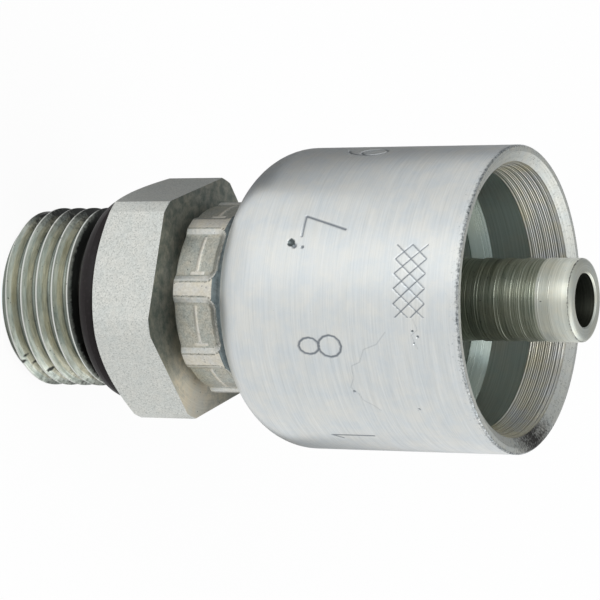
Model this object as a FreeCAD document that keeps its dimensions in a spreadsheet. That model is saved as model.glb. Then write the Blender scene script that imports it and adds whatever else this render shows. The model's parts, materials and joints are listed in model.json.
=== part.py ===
import FreeCAD, Part
import math
import os
import Sketcher

# Crimp hose fitting: a straight male stud with a hexagon, a crimp shell pressed onto the neck
# behind the hexagon, and an O-ring in the stud's undercut.
#
# The frame: millimetres, +Z up along the fitting's axis. The origin is the centre of the stud's
# end face, on which the fitting stands, and the hose goes on from above. Flats of the hexagon
# face -Y and +Y.

# Sizes, one row for each cell of the sheet: alias, value, what it is.
SIZES = (
    ("thread_diameter", 14.08, "over the crests of the stud's straight thread, nominally 14.288"),
    ("thread_length", 7.0, "from the end face to the end of the full thread"),
    ("thread_pitch", 1.411, "from crest to crest of the thread"),
    ("thread_depth", 0.762, "from the thread's crests down to its roots"),
    ("thread_angle", 60.0, "degrees between the two flanks of a groove of the thread"),
    ("thread_crest", 0.296, "width of the flat on each crest"),
    ("first_crest", 0.95, "from the end face to the middle of the first crest"),
    ("thread_run_out", 0.75, "length of the slope from the thread down to the undercut"),
    ("stud_chamfer_width", 0.79, "radial width of the chamfer at the end face"),
    ("stud_chamfer_length", 0.9, "length of that chamfer along the axis"),
    ("undercut_depth", 0.84, "from the thread's crests down to the groove for the O-ring"),
    ("undercut_spare", 0.11, "length of the undercut that the O-ring leaves free"),
    ("oring_section", 1.95, "thickness of the O-ring"),
    ("oring_clearance", 0.02, "gap left between the O-ring and each face that it sits on"),
    ("hex_across_flats", 17.46, "wrench size of the hexagon"),
    ("hex_length", 5.5, "length of the hexagon along the axis"),
    ("hex_edge_radius", 0.45, "rounding of the hexagon's six long edges"),
    ("washer_inset", 0.13, "how far the round washer face stays inside the flats"),
    ("washer_angle", 30.0, "degrees between the seat's plane and the chamfer round it"),
    ("corner_break", 0.33, "how much of each corner is cut back on the hose side"),
    ("corner_angle", 30.0, "degrees between the hose side face and that corner break"),
    ("neck_diameter", 11.0, "neck behind the hexagon, which the collar grips"),
    ("neck_gap", 0.85, "open gap between the hexagon and the collar"),
    ("neck_overrun", 0.4, "how far the neck stands past the socket's floor"),
    ("neck_shoulder", 0.8, "length of the slope from the neck down to the hose tail"),
    ("lock_start", 1.0, "from the collar's end to the locking groove in the neck"),
    ("lock_width", 2.0, "width of the locking groove"),
    ("lock_depth", 0.45, "depth of the locking groove"),
    ("crimp_clearance", 0.02, "gap left between the pressed collar and the neck"),
    ("tail_diameter", 6.3, "hose tail over its grip rings"),
    ("tail_wall", 1.125, "wall between the hose tail's surface and its bore"),
    ("tail_reach", 5.15, "how far the hose tail stands out of the shell's mouth"),
    ("tip_chamfer_width", 0.5, "radial width of the rounded off tip"),
    ("tip_chamfer_length", 0.3, "length of the rounded off tip along the axis"),
    ("grip_pitch", 1.72, "spacing of the hose tail's grip rings"),
    ("grip_depth", 0.1, "depth of each grip ring's step"),
    ("grip_count", 4, "how many grip rings"),
    ("grip_start", 2.8, "from the tip to the first grip ring's edge"),
    ("stud_bore_diameter", 7.5, "larger bore drilled from the stud's end"),
    ("stud_bore_depth", 12.0, "depth of that bore's straight wall"),
    ("drill_point_angle", 118.0, "degrees across the drill's point"),
    ("stud_bore_chamfer", 0.35, "edge break at the mouth of the stud's bore"),
    ("shell_diameter", 23.28, "outer diameter of the shell"),
    ("shell_length", 26.0, "from the collar's end to the shell's mouth"),
    ("shell_wall", 1.84, "wall of the shell at the crests of its ribs"),
    ("floor_wall", 1.84, "thickness of the shell's back wall"),
    ("dome_radius", 4.53, "rounding of the shell's back"),
    ("collar_wall", 1.98, "wall of the collar under its ridges"),
    ("collar_length", 4.67, "from the collar's end to the back of the dome"),
    ("collar_edge_break", 0.15, "chamfer at the collar's end"),
    ("jaw_count", 8, "how many jaws press the collar"),
    ("jaw_depth", 0.3, "how deep each pad is pressed below the ridges"),
    ("jaw_band", 0.77, "unpressed band between the pads and the dome"),
    ("jaw_corner_radius", 1.1, "rounding of each pad's two corners at the dome end"),
    ("jaw_turn", 33.5, "degrees from +X to the middle of a pad"),
    ("ridge_angle", 9.7, "degrees that each ridge between two pads spans"),
    ("witness_width", 0.35, "width of the fine raised line round the middle of each pad"),
    ("witness_height", 0.06, "height of that line above the pad"),
    ("witness_margin", 4.15, "degrees between the ends of that line and the ridges"),
    ("rib_height", 0.7, "depth of the grooves between the ribs in the socket"),
    ("rib_pitch", 5.1, "spacing of the ribs"),
    ("rib_flank", 1.45, "length of each rib's sloping flank"),
    ("rib_crest", 0.1, "width of each rib's crest"),
    ("rib_groove_count", 2, "how many grooves"),
    ("rim_width", 0.49, "width of the flat rim round the mouth"),
    ("rim_edge_break", 0.15, "chamfer at the rim's outer edge"),
    ("mouth_chamfer_length", 0.5, "length of the chamfer inside the rim"),
    ("lead_in_depth", 0.6, "how much wider the tapered land is at the mouth than at the ribs"),
    ("lead_in_length", 2.7, "length of the tapered land"),
)
VALUE_OF = {alias: value for alias, value, meaning in SIZES}

# Heights above the origin, from the stud's end to the hose tail's tip.
UNDERCUT = "Sizes.thread_length + Sizes.thread_run_out"
HEX_SEAT = UNDERCUT + " + Sizes.undercut_spare + Sizes.oring_section + 2 * Sizes.oring_clearance"
HEX_FACE = HEX_SEAT + " + Sizes.hex_length"
COLLAR_END = HEX_FACE + " + Sizes.neck_gap"
SOCKET_FLOOR = COLLAR_END + " + Sizes.collar_length + Sizes.floor_wall"
NECK_END = SOCKET_FLOOR + " + Sizes.neck_overrun"
TAIL_TIP = COLLAR_END + " + Sizes.shell_length + Sizes.tail_reach"

# Radii that more than one piece uses.
UNDERCUT_RADIUS = "(Sizes.thread_diameter / 2 - Sizes.undercut_depth)"
HUB_RADIUS = "(Sizes.neck_diameter / 2 + Sizes.crimp_clearance)"
COLLAR_RADIUS = "(Sizes.neck_diameter / 2 + Sizes.crimp_clearance + Sizes.collar_wall)"
SOCKET_RADIUS = "(Sizes.shell_diameter / 2 - Sizes.shell_wall)"

# A cut runs this far past the surface that it breaks through.
PAST = "1"
# The side of the rough outline that a sketch starts from, before its dimensions pull it to size.
ROUGH_SIZE = VALUE_OF["shell_diameter"] / 2
# Two places closer than this are the same place, when an edge is looked for.
SAME = 0.001


def make_sheet(doc):
    """The sheet of driving sizes: the value in column B, its meaning in column C."""
    sheet = doc.addObject("Spreadsheet::Sheet", "Sizes")
    for row, (alias, value, meaning) in enumerate(SIZES, start=1):
        sheet.set(f"A{row}", alias)
        sheet.set(f"B{row}", str(value))
        sheet.set(f"C{row}", meaning)
        sheet.setAlias(f"B{row}", alias)
    doc.recompute()
    return sheet


def origin_feature(body, role):
    """One of the body's own origin planes or axes."""
    for feature in body.Origin.OriginFeatures:
        if feature.Role == role:
            return feature
    raise ValueError(f"{body.Label} has no {role}")


def new_sketch(body, name, role):
    sketch = body.newObject("Sketcher::SketchObject", name)
    sketch.AttachmentSupport = [(origin_feature(body, role), "")]
    sketch.MapMode = "FlatFace"
    return sketch


def draw_rough_polygon(sketch, count):
    """A closed ring of lines through points on a circle. Returns the index of its first line."""
    turn = 2 * math.pi / count
    points = [
        FreeCAD.Vector(ROUGH_SIZE * (2 + math.cos(k * turn)), ROUGH_SIZE * (2 + math.sin(k * turn)), 0)
        for k in range(count)
    ]
    first = sketch.GeometryCount
    for k in range(count):
        sketch.addGeometry(Part.LineSegment(points[k], points[(k + 1) % count]), False)
    for k in range(count):
        following = first + (k + 1) % count
        sketch.addConstraint(Sketcher.Constraint("Coincident", first + k, 2, following, 1))
    return first


def draw_outline(sketch, corners):
    """A closed outline of straight lines in the half plane of radius and height.

    Each corner is a pair of expressions, its radius and its height, and both become dimensions
    from the sketch's origin. A "0" puts the corner on the axis or on the base line.
    """
    first = draw_rough_polygon(sketch, len(corners))
    for k, corner in enumerate(corners):
        for kind, axis, expression in (("DistanceX", -2, corner[0]), ("DistanceY", -1, corner[1])):
            if expression == "0":
                sketch.addConstraint(Sketcher.Constraint("PointOnObject", first + k, 1, axis))
            else:
                index = sketch.addConstraint(Sketcher.Constraint(kind, -1, 1, first + k, 1, ROUGH_SIZE))
                sketch.setExpression(f"Constraints[{index}]", expression)


def outline_sketch(body, name, corners):
    sketch = new_sketch(body, name, "XZ_Plane")
    draw_outline(sketch, corners)
    return sketch


def volume_after(body, feature, before, sign, what):
    """Recomputes, and stops if the feature didn't add (sign 1) or remove (sign -1) material."""
    body.Tip = feature
    body.Document.recompute()
    after = body.Shape.Volume
    if (after - before) * sign <= 0:
        raise RuntimeError(f"{what} of {body.Label} changed nothing: {before:.3f} to {after:.3f} mm3")
    return feature


def turn(body, kind, name, sketch, sign, angle=None):
    """A Revolution or Groove of the sketch about the body's axis, whole or over one angle."""
    before = body.Shape.Volume if not body.Shape.isNull() else 0.0
    feature = body.newObject(kind, name)
    feature.Profile = (sketch, [""])
    feature.ReferenceAxis = (sketch, ["V_Axis"])
    feature.Angle = 360.0
    if angle is not None:
        feature.Midplane = True
        feature.setExpression("Angle", angle)
    return volume_after(body, feature, before, sign, name)


def revolve(body, name, corners, angle=None):
    sketch = outline_sketch(body, name + "_outline", corners)
    return turn(body, "PartDesign::Revolution", name, sketch, 1, angle)


def groove(body, name, corners, angle=None):
    sketch = outline_sketch(body, name + "_outline", corners)
    return turn(body, "PartDesign::Groove", name, sketch, -1, angle)


def repeat_along_axis(body, name, feature, count, pitch, sign, upwards=False):
    """Copies of the feature along the body's axis, downwards unless upwards is True."""
    before = body.Shape.Volume
    pattern = body.newObject("PartDesign::LinearPattern", name)
    pattern.Originals = [feature]
    pattern.Direction = (origin_feature(body, "Z_Axis"), [""])
    pattern.Reversed = not upwards
    pattern.setExpression("Occurrences", count)
    pattern.setExpression("Length", f"({count} - 1) * {pitch}")
    return volume_after(body, pattern, before, sign, name)


def repeat_round_axis(body, name, feature, count, sign):
    before = body.Shape.Volume
    pattern = body.newObject("PartDesign::PolarPattern", name)
    pattern.Originals = [feature]
    pattern.Axis = (origin_feature(body, "Z_Axis"), [""])
    pattern.Angle = 360.0
    pattern.setExpression("Occurrences", count)
    return volume_after(body, pattern, before, sign, name)


def named_edges(feature, wanted):
    """Names of the feature's edges that the test wanted(edge) accepts."""
    names = [f"Edge{number}" for number, edge in enumerate(feature.Shape.Edges, start=1) if wanted(edge)]
    if not names:
        raise RuntimeError(f"{feature.Label} has no such edge")
    return names


def round_edges(feature, wanted):
    """Names of the feature's circular edges that the test wanted(radius, height) accepts."""
    def is_wanted(edge):
        return isinstance(edge.Curve, Part.Circle) and wanted(edge.Curve.Radius, edge.Curve.Center.z)

    return named_edges(feature, is_wanted)


def dress(body, kind, name, edges, size_property, size, sign):
    """A Fillet or Chamfer on named edges of the body's last feature."""
    before = body.Shape.Volume
    base = body.Tip
    feature = body.newObject(kind, name)
    feature.Base = (base, edges)
    feature.setExpression(size_property, size)
    return volume_after(body, feature, before, sign, name)


def near(value, target):
    return abs(value - target) < SAME


def make_fitting_body(doc):
    """Stud, hexagon, neck and hose tail: one piece, turned from hexagon bar."""
    body = doc.addObject("PartDesign::Body", "fitting_body")
    body.Label = "fitting_body"
    thread_radius = "Sizes.thread_diameter / 2"
    neck_radius = "Sizes.neck_diameter / 2"
    tail_radius = "Sizes.tail_diameter / 2"
    hex_middle = HEX_SEAT + " + Sizes.hex_length / 2"
    lock_start = COLLAR_END + " + Sizes.lock_start"
    lock_end = lock_start + " + Sizes.lock_width"
    lock_radius = neck_radius + " - Sizes.lock_depth"
    revolve(body, "turned_blank", (
        ("0", "0"),
        (thread_radius + " - Sizes.stud_chamfer_width", "0"),
        (thread_radius, "Sizes.stud_chamfer_length"),
        (thread_radius, "Sizes.thread_length"),
        (UNDERCUT_RADIUS, UNDERCUT),
        (UNDERCUT_RADIUS, hex_middle),
        (neck_radius, hex_middle),
        (neck_radius, lock_start),
        (lock_radius, lock_start),
        (lock_radius, lock_end),
        (neck_radius, lock_end),
        (neck_radius, NECK_END),
        (tail_radius, NECK_END + " + Sizes.neck_shoulder"),
        (tail_radius, TAIL_TIP + " - Sizes.tip_chamfer_length"),
        (tail_radius + " - Sizes.tip_chamfer_width", TAIL_TIP),
        ("0", TAIL_TIP),
    ))
    add_thread(body)
    add_hexagon(body)
    round_hex_edges(body)
    add_hex_chamfers(body)
    add_grip_rings(body)
    add_bore(body)
    return body


def add_thread(body):
    """Rings of the thread's own section. They have its pitch, and leave out its helix."""
    crest_radius = "Sizes.thread_diameter / 2"
    root_radius = crest_radius + " - Sizes.thread_depth"
    flank = "Sizes.thread_depth * tan(Sizes.thread_angle / 2 * 1 deg)"
    low = "Sizes.first_crest + Sizes.thread_crest / 2"
    high = "Sizes.first_crest + Sizes.thread_pitch - Sizes.thread_crest / 2"
    first = groove(body, "thread_groove", (
        (root_radius, f"{low} + {flank}"),
        (crest_radius, low),
        (f"{crest_radius} + {PAST}", low),
        (f"{crest_radius} + {PAST}", high),
        (crest_radius, high),
        (root_radius, f"{high} - {flank}"),
    ))
    count = "floor((Sizes.thread_length - Sizes.first_crest) / Sizes.thread_pitch)"
    repeat_along_axis(body, "thread_grooves", first, count, "Sizes.thread_pitch", -1, upwards=True)


def add_hexagon(body):
    """A regular hexagon with two corners on the X axis, padded up from the seat."""
    sketch = new_sketch(body, "hexagon_outline", "XY_Plane")
    sketch.setExpression(".AttachmentOffset.Base.z", HEX_SEAT)
    circle = sketch.addGeometry(
        Part.Circle(FreeCAD.Vector(0, 0, 0), FreeCAD.Vector(0, 0, 1), ROUGH_SIZE), True)
    sketch.addConstraint(Sketcher.Constraint("Coincident", circle, 3, -1, 1))
    across_corners = sketch.addConstraint(Sketcher.Constraint("Diameter", circle, 2 * ROUGH_SIZE))
    sketch.setExpression(f"Constraints[{across_corners}]", "Sizes.hex_across_flats / cos(30 deg)")
    corners = [
        FreeCAD.Vector(ROUGH_SIZE * math.cos(math.radians(60 * k)),
                       ROUGH_SIZE * math.sin(math.radians(60 * k)), 0)
        for k in range(6)
    ]
    sides = [sketch.addGeometry(Part.LineSegment(corners[k], corners[(k + 1) % 6]), False)
             for k in range(6)]
    for k, side in enumerate(sides):
        sketch.addConstraint(Sketcher.Constraint("Coincident", side, 2, sides[(k + 1) % 6], 1))
        sketch.addConstraint(Sketcher.Constraint("PointOnObject", side, 1, circle))
        if k > 0:
            sketch.addConstraint(Sketcher.Constraint("Equal", sides[0], side))
    sketch.addConstraint(Sketcher.Constraint("PointOnObject", sides[0], 1, -1))
    before = body.Shape.Volume
    pad = body.newObject("PartDesign::Pad", "hexagon")
    pad.Profile = (sketch, [""])
    pad.setExpression("Length", "Sizes.hex_length")
    volume_after(body, pad, before, 1, "hexagon")


def round_hex_edges(body):
    """The hexagon's six long edges, slightly rounded as drawn bar is."""
    corner_radius = VALUE_OF["hex_across_flats"] / 2 / math.cos(math.radians(30))

    def is_long_edge(edge):
        on_corner = all(near(math.hypot(v.X, v.Y), corner_radius) for v in edge.Vertexes)
        return on_corner and near(edge.Length, VALUE_OF["hex_length"])

    dress(body, "PartDesign::Fillet", "hex_edges", named_edges(body.Tip, is_long_edge),
          "Radius", "Sizes.hex_edge_radius", -1)


def add_hex_chamfers(body):
    """The corners of the hexagon cut back, to a round washer face and to a lighter corner break."""
    outer = f"(Sizes.hex_across_flats / 2 / cos(30 deg) + {PAST})"
    washer = "(Sizes.hex_across_flats / 2 - Sizes.washer_inset)"
    corner = "(Sizes.hex_across_flats / 2 / cos(30 deg) - Sizes.corner_break)"
    washer_rise = f"({outer} - {washer}) * tan(Sizes.washer_angle * 1 deg)"
    corner_fall = f"({outer} - {corner}) * tan(Sizes.corner_angle * 1 deg)"
    groove(body, "washer_chamfer", (
        (washer, HEX_SEAT),
        (outer, HEX_SEAT),
        (outer, HEX_SEAT + " + " + washer_rise),
    ))
    groove(body, "corner_break", (
        (corner, HEX_FACE),
        (outer, HEX_FACE + " - " + corner_fall),
        (outer, HEX_FACE),
    ))


def add_grip_rings(body):
    """Shallow saw teeth round the hose tail.

    Away from the tip each tooth rises slowly and then steps in, so a hose slides on and stays.
    """
    tail_radius = "Sizes.tail_diameter / 2"
    edge = TAIL_TIP + " - Sizes.grip_start"
    tooth = groove(body, "grip_ring", (
        (tail_radius + " - Sizes.grip_depth", edge),
        (f"{tail_radius} + {PAST}", edge),
        (f"{tail_radius} + {PAST}", edge + " - Sizes.grip_pitch"),
        (tail_radius, edge + " - Sizes.grip_pitch"),
    ))
    repeat_along_axis(body, "grip_rings", tooth, "Sizes.grip_count", "Sizes.grip_pitch", -1)


def add_bore(body):
    """The bore: wide from the stud's end, down a drill point to the narrow bore of the tail."""
    wide = "Sizes.stud_bore_diameter / 2"
    narrow = "Sizes.tail_diameter / 2 - Sizes.tail_wall"
    point = f"({wide} - ({narrow})) / tan(Sizes.drill_point_angle / 2 * 1 deg)"
    groove(body, "bore", (
        ("0", "0"),
        (wide + " + Sizes.stud_bore_chamfer", "0"),
        (wide, "Sizes.stud_bore_chamfer"),
        (wide, "Sizes.stud_bore_depth"),
        (narrow, "Sizes.stud_bore_depth + " + point),
        (narrow, f"{TAIL_TIP} + {PAST}"),
        ("0", f"{TAIL_TIP} + {PAST}"),
    ))


def make_crimp_shell(doc):
    """The shell, drawn up from its collar's end: a domed cup on a collar, hollow and ribbed."""
    body = doc.addObject("PartDesign::Body", "crimp_shell")
    body.Label = "crimp_shell"
    add_cup(body)
    add_collar(body)
    add_hub_bore(body)
    add_ribs(body)
    add_jaw_pads(body)
    body.setExpression(".Placement.Base.z", COLLAR_END)
    body.setExpression(".Placement.Rotation.Angle", "Sizes.jaw_turn * 1 deg")
    return body


def add_cup(body):
    """The cup with its rounded back, and the tapered land and chamfer inside its mouth."""
    shell_radius = "Sizes.shell_diameter / 2"
    floor = "Sizes.collar_length + Sizes.floor_wall"
    mouth = "Sizes.shell_length"
    land_top = mouth + " - Sizes.mouth_chamfer_length"
    revolve(body, "cup", (
        ("0", "Sizes.collar_length"),
        (shell_radius, "Sizes.collar_length"),
        (shell_radius, mouth),
        (shell_radius + " - Sizes.rim_width", mouth),
        (SOCKET_RADIUS + " + Sizes.lead_in_depth", land_top),
        (SOCKET_RADIUS, land_top + " - Sizes.lead_in_length"),
        (SOCKET_RADIUS, floor),
        ("0", floor),
    ))
    outside = VALUE_OF["shell_diameter"] / 2
    inside = outside - VALUE_OF["shell_wall"]
    back_height = VALUE_OF["collar_length"]
    floor_height = back_height + VALUE_OF["floor_wall"]
    mouth_height = VALUE_OF["shell_length"]
    dress(body, "PartDesign::Fillet", "dome",
          round_edges(body.Tip, lambda r, z: near(r, outside) and near(z, back_height)),
          "Radius", "Sizes.dome_radius", -1)
    dress(body, "PartDesign::Chamfer", "dome_inside",
          round_edges(body.Tip, lambda r, z: near(r, inside) and near(z, floor_height)),
          "Size", "Sizes.dome_radius - Sizes.shell_wall", 1)
    dress(body, "PartDesign::Chamfer", "rim_edge",
          round_edges(body.Tip, lambda r, z: near(r, outside) and near(z, mouth_height)),
          "Size", "Sizes.rim_edge_break", -1)


def add_collar(body):
    """The collar below the dome, up into the back wall, with a broken edge at its end."""
    into_wall = "Sizes.collar_length + Sizes.floor_wall / 2"
    revolve(body, "collar", (
        ("0", "0"),
        (COLLAR_RADIUS + " - Sizes.collar_edge_break", "0"),
        (COLLAR_RADIUS, "Sizes.collar_edge_break"),
        (COLLAR_RADIUS, into_wall),
        ("0", into_wall),
    ))


def add_hub_bore(body):
    """The hole for the neck, with the bead that the jaws press into the neck's locking groove."""
    bead = HUB_RADIUS + " - Sizes.lock_depth"
    start = "Sizes.lock_start + Sizes.crimp_clearance"
    end = "Sizes.lock_start + Sizes.lock_width - Sizes.crimp_clearance"
    top = f"Sizes.collar_length + Sizes.floor_wall + {PAST}"
    groove(body, "hub_bore", (
        ("0", "0"),
        (HUB_RADIUS, "0"),
        (HUB_RADIUS, start),
        (bead, start),
        (bead, end),
        (HUB_RADIUS, end),
        (HUB_RADIUS, top),
        ("0", top),
    ))


def add_ribs(body):
    """Saw tooth ribs inside the socket.

    Each has a long flank towards the mouth and a steep face behind it, so a hose goes in and stays.
    """
    groove_radius = SOCKET_RADIUS + " + Sizes.rib_height"
    step = "Sizes.shell_length - Sizes.mouth_chamfer_length - Sizes.lead_in_length - Sizes.rib_crest"
    flank_end = step + " - Sizes.rib_pitch + Sizes.rib_crest"
    first = groove(body, "rib_groove", (
        (f"{SOCKET_RADIUS} - {PAST}", step),
        (groove_radius, step),
        (groove_radius, flank_end + " + Sizes.rib_flank"),
        (SOCKET_RADIUS, flank_end),
        (f"{SOCKET_RADIUS} - {PAST}", flank_end),
    ))
    repeat_along_axis(body, "rib_grooves", first, "Sizes.rib_groove_count", "Sizes.rib_pitch", -1)


def add_jaw_pads(body):
    """The pads pressed by the crimping jaws. Proud ridges stay between them.

    Each pad is open at the collar's end, has rounded corners at the dome, and a fine raised line
    round its middle.
    """
    floor = COLLAR_RADIUS + " - Sizes.jaw_depth"
    outside = f"{COLLAR_RADIUS} + {PAST}"
    length = "(Sizes.collar_length - Sizes.jaw_band)"
    angle = "(360 / Sizes.jaw_count - Sizes.ridge_angle)"
    pad = groove(body, "jaw_pad", (
        (floor, "0"),
        (outside, "0"),
        (outside, length),
        (floor, length),
    ), f"{angle} * 1 deg")
    repeat_round_axis(body, "jaw_pads", pad, "Sizes.jaw_count", -1)
    round_jaw_corners(body)
    low = f"({length} - Sizes.witness_width) / 2"
    high = f"({length} + Sizes.witness_width) / 2"
    line = revolve(body, "witness_line", (
        (floor + " - Sizes.witness_height", low),
        (floor + " + Sizes.witness_height", low),
        (floor + " + Sizes.witness_height", high),
        (floor + " - Sizes.witness_height", high),
    ), f"({angle} - 2 * Sizes.witness_margin) * 1 deg")
    repeat_round_axis(body, "witness_lines", line, "Sizes.jaw_count", 1)


def round_jaw_corners(body):
    """The two corners at the dome end of every pad, rounded as seen from outside."""
    end = VALUE_OF["collar_length"] - VALUE_OF["jaw_band"]

    def is_corner(edge):
        return isinstance(edge.Curve, Part.Line) and all(near(v.Point.z, end) for v in edge.Vertexes)

    dress(body, "PartDesign::Fillet", "jaw_corners", named_edges(body.Tip, is_corner),
          "Radius", "Sizes.jaw_corner_radius", 1)


def make_o_ring(doc):
    """The seal, stretched over the undercut and against the hexagon's seat."""
    ring = doc.addObject("Part::Torus", "o_ring")
    ring.Label = "o_ring"
    section_radius = "Sizes.oring_section / 2"
    ring.setExpression("Radius1", f"{UNDERCUT_RADIUS} + Sizes.oring_clearance + {section_radius}")
    ring.setExpression("Radius2", section_radius)
    ring.setExpression(".Placement.Base.z", f"{HEX_SEAT} - Sizes.oring_clearance - {section_radius}")
    return ring


def check_and_export(doc, pieces):
    """Stops on any failed object or bad shape, then writes each piece to its own file."""
    doc.recompute()
    for thing in doc.Objects:
        if "Invalid" in thing.State or "Error" in thing.State:
            raise RuntimeError(f"{thing.Label} failed: {thing.State}")
    os.makedirs("parts", exist_ok=True)
    for piece in pieces:
        shape = piece.Shape
        if shape.isNull() or not shape.isValid() or len(shape.Solids) != 1:
            raise RuntimeError(f"{piece.Label} isn't one valid solid")
        shape.exportStep(os.path.join("parts", piece.Label + ".step"))
        print(f"{piece.Label}: {shape.Volume:.2f} mm3, {len(shape.Faces)} faces, "
              f"height {shape.BoundBox.ZMin:.3f} to {shape.BoundBox.ZMax:.3f} mm")


def main():
    doc = FreeCAD.newDocument("crimp_hose_fitting")
    make_sheet(doc)
    pieces = [make_fitting_body(doc), make_crimp_shell(doc), make_o_ring(doc)]
    check_and_export(doc, pieces)


main()
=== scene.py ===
"""Looks of a crimp hose fitting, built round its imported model.

The fitting stands on its stud, with its axis along +Z. Sizes in the classes are in millimetres,
heights are measured from the stud's end face, and angles are in degrees.
"""

import json
import logging
import math
from dataclasses import dataclass, replace
from enum import Enum
from typing import Callable, Sequence

import bpy
from mathutils import Matrix, Vector


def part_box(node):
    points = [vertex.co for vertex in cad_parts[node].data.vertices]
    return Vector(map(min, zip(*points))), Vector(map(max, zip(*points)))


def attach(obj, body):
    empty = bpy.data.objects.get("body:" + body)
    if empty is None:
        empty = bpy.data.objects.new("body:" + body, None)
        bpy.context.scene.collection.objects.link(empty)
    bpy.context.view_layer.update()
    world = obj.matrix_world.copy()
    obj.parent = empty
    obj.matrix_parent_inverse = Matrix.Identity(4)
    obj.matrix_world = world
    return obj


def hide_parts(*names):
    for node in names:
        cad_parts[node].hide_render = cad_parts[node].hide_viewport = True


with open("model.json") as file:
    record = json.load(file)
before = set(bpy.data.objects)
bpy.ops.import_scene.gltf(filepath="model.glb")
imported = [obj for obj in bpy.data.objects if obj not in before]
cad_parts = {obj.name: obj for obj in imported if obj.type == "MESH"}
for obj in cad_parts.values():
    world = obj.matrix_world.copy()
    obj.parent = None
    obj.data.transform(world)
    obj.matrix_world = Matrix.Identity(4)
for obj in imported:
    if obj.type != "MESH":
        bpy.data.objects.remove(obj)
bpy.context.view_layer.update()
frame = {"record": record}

MM = 0.001
ROOT_BODY = "root"
# Vertices closer than this are one vertex. It is far below the smallest step that is modelled.
WELD_MM = 0.002
# Name of the attribute that says how deep a place is struck in, from 0 to 1.
STRUCK = "struck"
# Name of the attribute that says how much dirt and painted shade a place holds, from 0 to 1.
SOILED = "soiled"
# Edges that turn by more than this stay crisp.
CRISP_DEGREES = 22.0

# Noise lies between these nearly everywhere, and the clouds take up its middle.
NOISE_RANGE = (0.3, 0.7)
CLOUD_RANGE = (0.36, 0.64)
# How far the marks move the roughness up and down, and how softly a speck ends.
ROUGHNESS_SWING = 0.05
SPECK_SOFTNESS = 0.03
# Weight of the radius against the height in turning rings, so that a turned face has them too.
RADIUS_WEIGHT = 1.3
# A face whose normal points along the axis by more than this lies across it.
ACROSS_AXIS = 0.9

Point = tuple[float, float]
Dent = tuple[float, float, float]
Colour = tuple[float, float, float, float]
Strokes = list[tuple[float, list[tuple[Vector, Vector]]]]
DirtLevel = Callable[[float, float, float], float]

log = logging.getLogger("crimp_hose_fitting")


@dataclass(frozen=True)
class Spot:
    """The middle of a face, as the tests see it that choose the face's finish.

    Attributes:
        radius: Distance from the fitting's axis, in millimetres.
        height: Height above the stud's end face, in millimetres.
        azimuth: Direction round the axis, in degrees from +X.
        normal: Outward direction of the face.
    """

    radius: float
    height: float
    azimuth: float
    normal: Vector


FaceTest = Callable[[Spot], bool]


@dataclass(frozen=True)
class Zone:
    """The part of a piece between two radii and two heights, a test of a face's middle.

    Attributes:
        inner: The smaller radius.
        outer: The larger radius.
        low: The lower height.
        high: The upper height.
    """

    inner: float = -math.inf
    outer: float = math.inf
    low: float = -math.inf
    high: float = math.inf

    def __call__(self, spot: Spot) -> bool:
        """Whether a spot lies in the zone."""
        return self.inner < spot.radius < self.outer and self.low < spot.height < self.high


def linear(hex_colour: str) -> Colour:
    """Turns an sRGB colour to linear light.

    Args:
        hex_colour: The colour as #RRGGBB.

    Returns:
        Red, green, blue and an alpha of 1.
    """
    channels = [int(hex_colour[k:k + 2], 16) / 255 for k in (1, 3, 5)]
    red, green, blue = (c / 12.92 if c <= 0.04045 else ((c + 0.055) / 1.055) ** 2.4 for c in channels)
    return red, green, blue, 1.0


def add_node(tree: bpy.types.NodeTree, kind: str, settings: dict[str, object] | None = None,
             inputs: dict[str | int, object] | None = None) -> bpy.types.Node:
    """Adds a node with its settings and what goes into it.

    Args:
        tree: The node tree to add to.
        kind: The node's class name.
        settings: Values of the node's own properties.
        inputs: A value or another node's output for each named or numbered input.

    Returns:
        The new node.
    """
    node = tree.nodes.new(kind)
    for name, value in (settings or {}).items():
        setattr(node, name, value)
    for key, value in (inputs or {}).items():
        if isinstance(value, bpy.types.NodeSocket):
            tree.links.new(value, node.inputs[key])
        else:
            node.inputs[key].default_value = value
    return node


def new_material(name: str) -> bpy.types.Material:
    """Makes a material with an empty node tree.

    Args:
        name: The material's name.

    Returns:
        The material.
    """
    material = bpy.data.materials.new(name)
    material.use_nodes = True
    material.node_tree.nodes.clear()
    return material


def calculate(tree: bpy.types.NodeTree, operation: str, *values: object) -> bpy.types.NodeSocket:
    """Adds a sum on numbers.

    Args:
        tree: The node tree to add to.
        operation: What to do with the values.
        *values: Numbers or outputs, in the order of the node's inputs.

    Returns:
        The result.
    """
    node = add_node(tree, "ShaderNodeMath", {"operation": operation}, dict(enumerate(values)))
    return node.outputs["Value"]


def calculate_vector(tree: bpy.types.NodeTree, operation: str, *values: object) -> bpy.types.NodeSocket:
    """Adds a sum on vectors.

    Args:
        tree: The node tree to add to.
        operation: What to do with the values.
        *values: Vectors or outputs, in the order of the node's inputs.

    Returns:
        The result, a number for a length or a dot product and else a vector.
    """
    node = add_node(tree, "ShaderNodeVectorMath", {"operation": operation}, dict(enumerate(values)))
    return node.outputs["Value" if operation in ("LENGTH", "DOT_PRODUCT") else "Vector"]


def remap(tree: bpy.types.NodeTree, value: bpy.types.NodeSocket, low: float, high: float,
          first: float = 0.0, last: float = 1.0) -> bpy.types.NodeSocket:
    """Maps one range of a value onto another, and holds it there.

    Args:
        tree: The node tree to add to.
        value: The output to map.
        low: Start of its range.
        high: End of its range.
        first: What the start becomes.
        last: What the end becomes.

    Returns:
        The mapped value.
    """
    node = add_node(tree, "ShaderNodeMapRange", inputs={
        "Value": value, "From Min": low, "From Max": high, "To Min": first, "To Max": last})
    return node.outputs["Result"]


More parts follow.
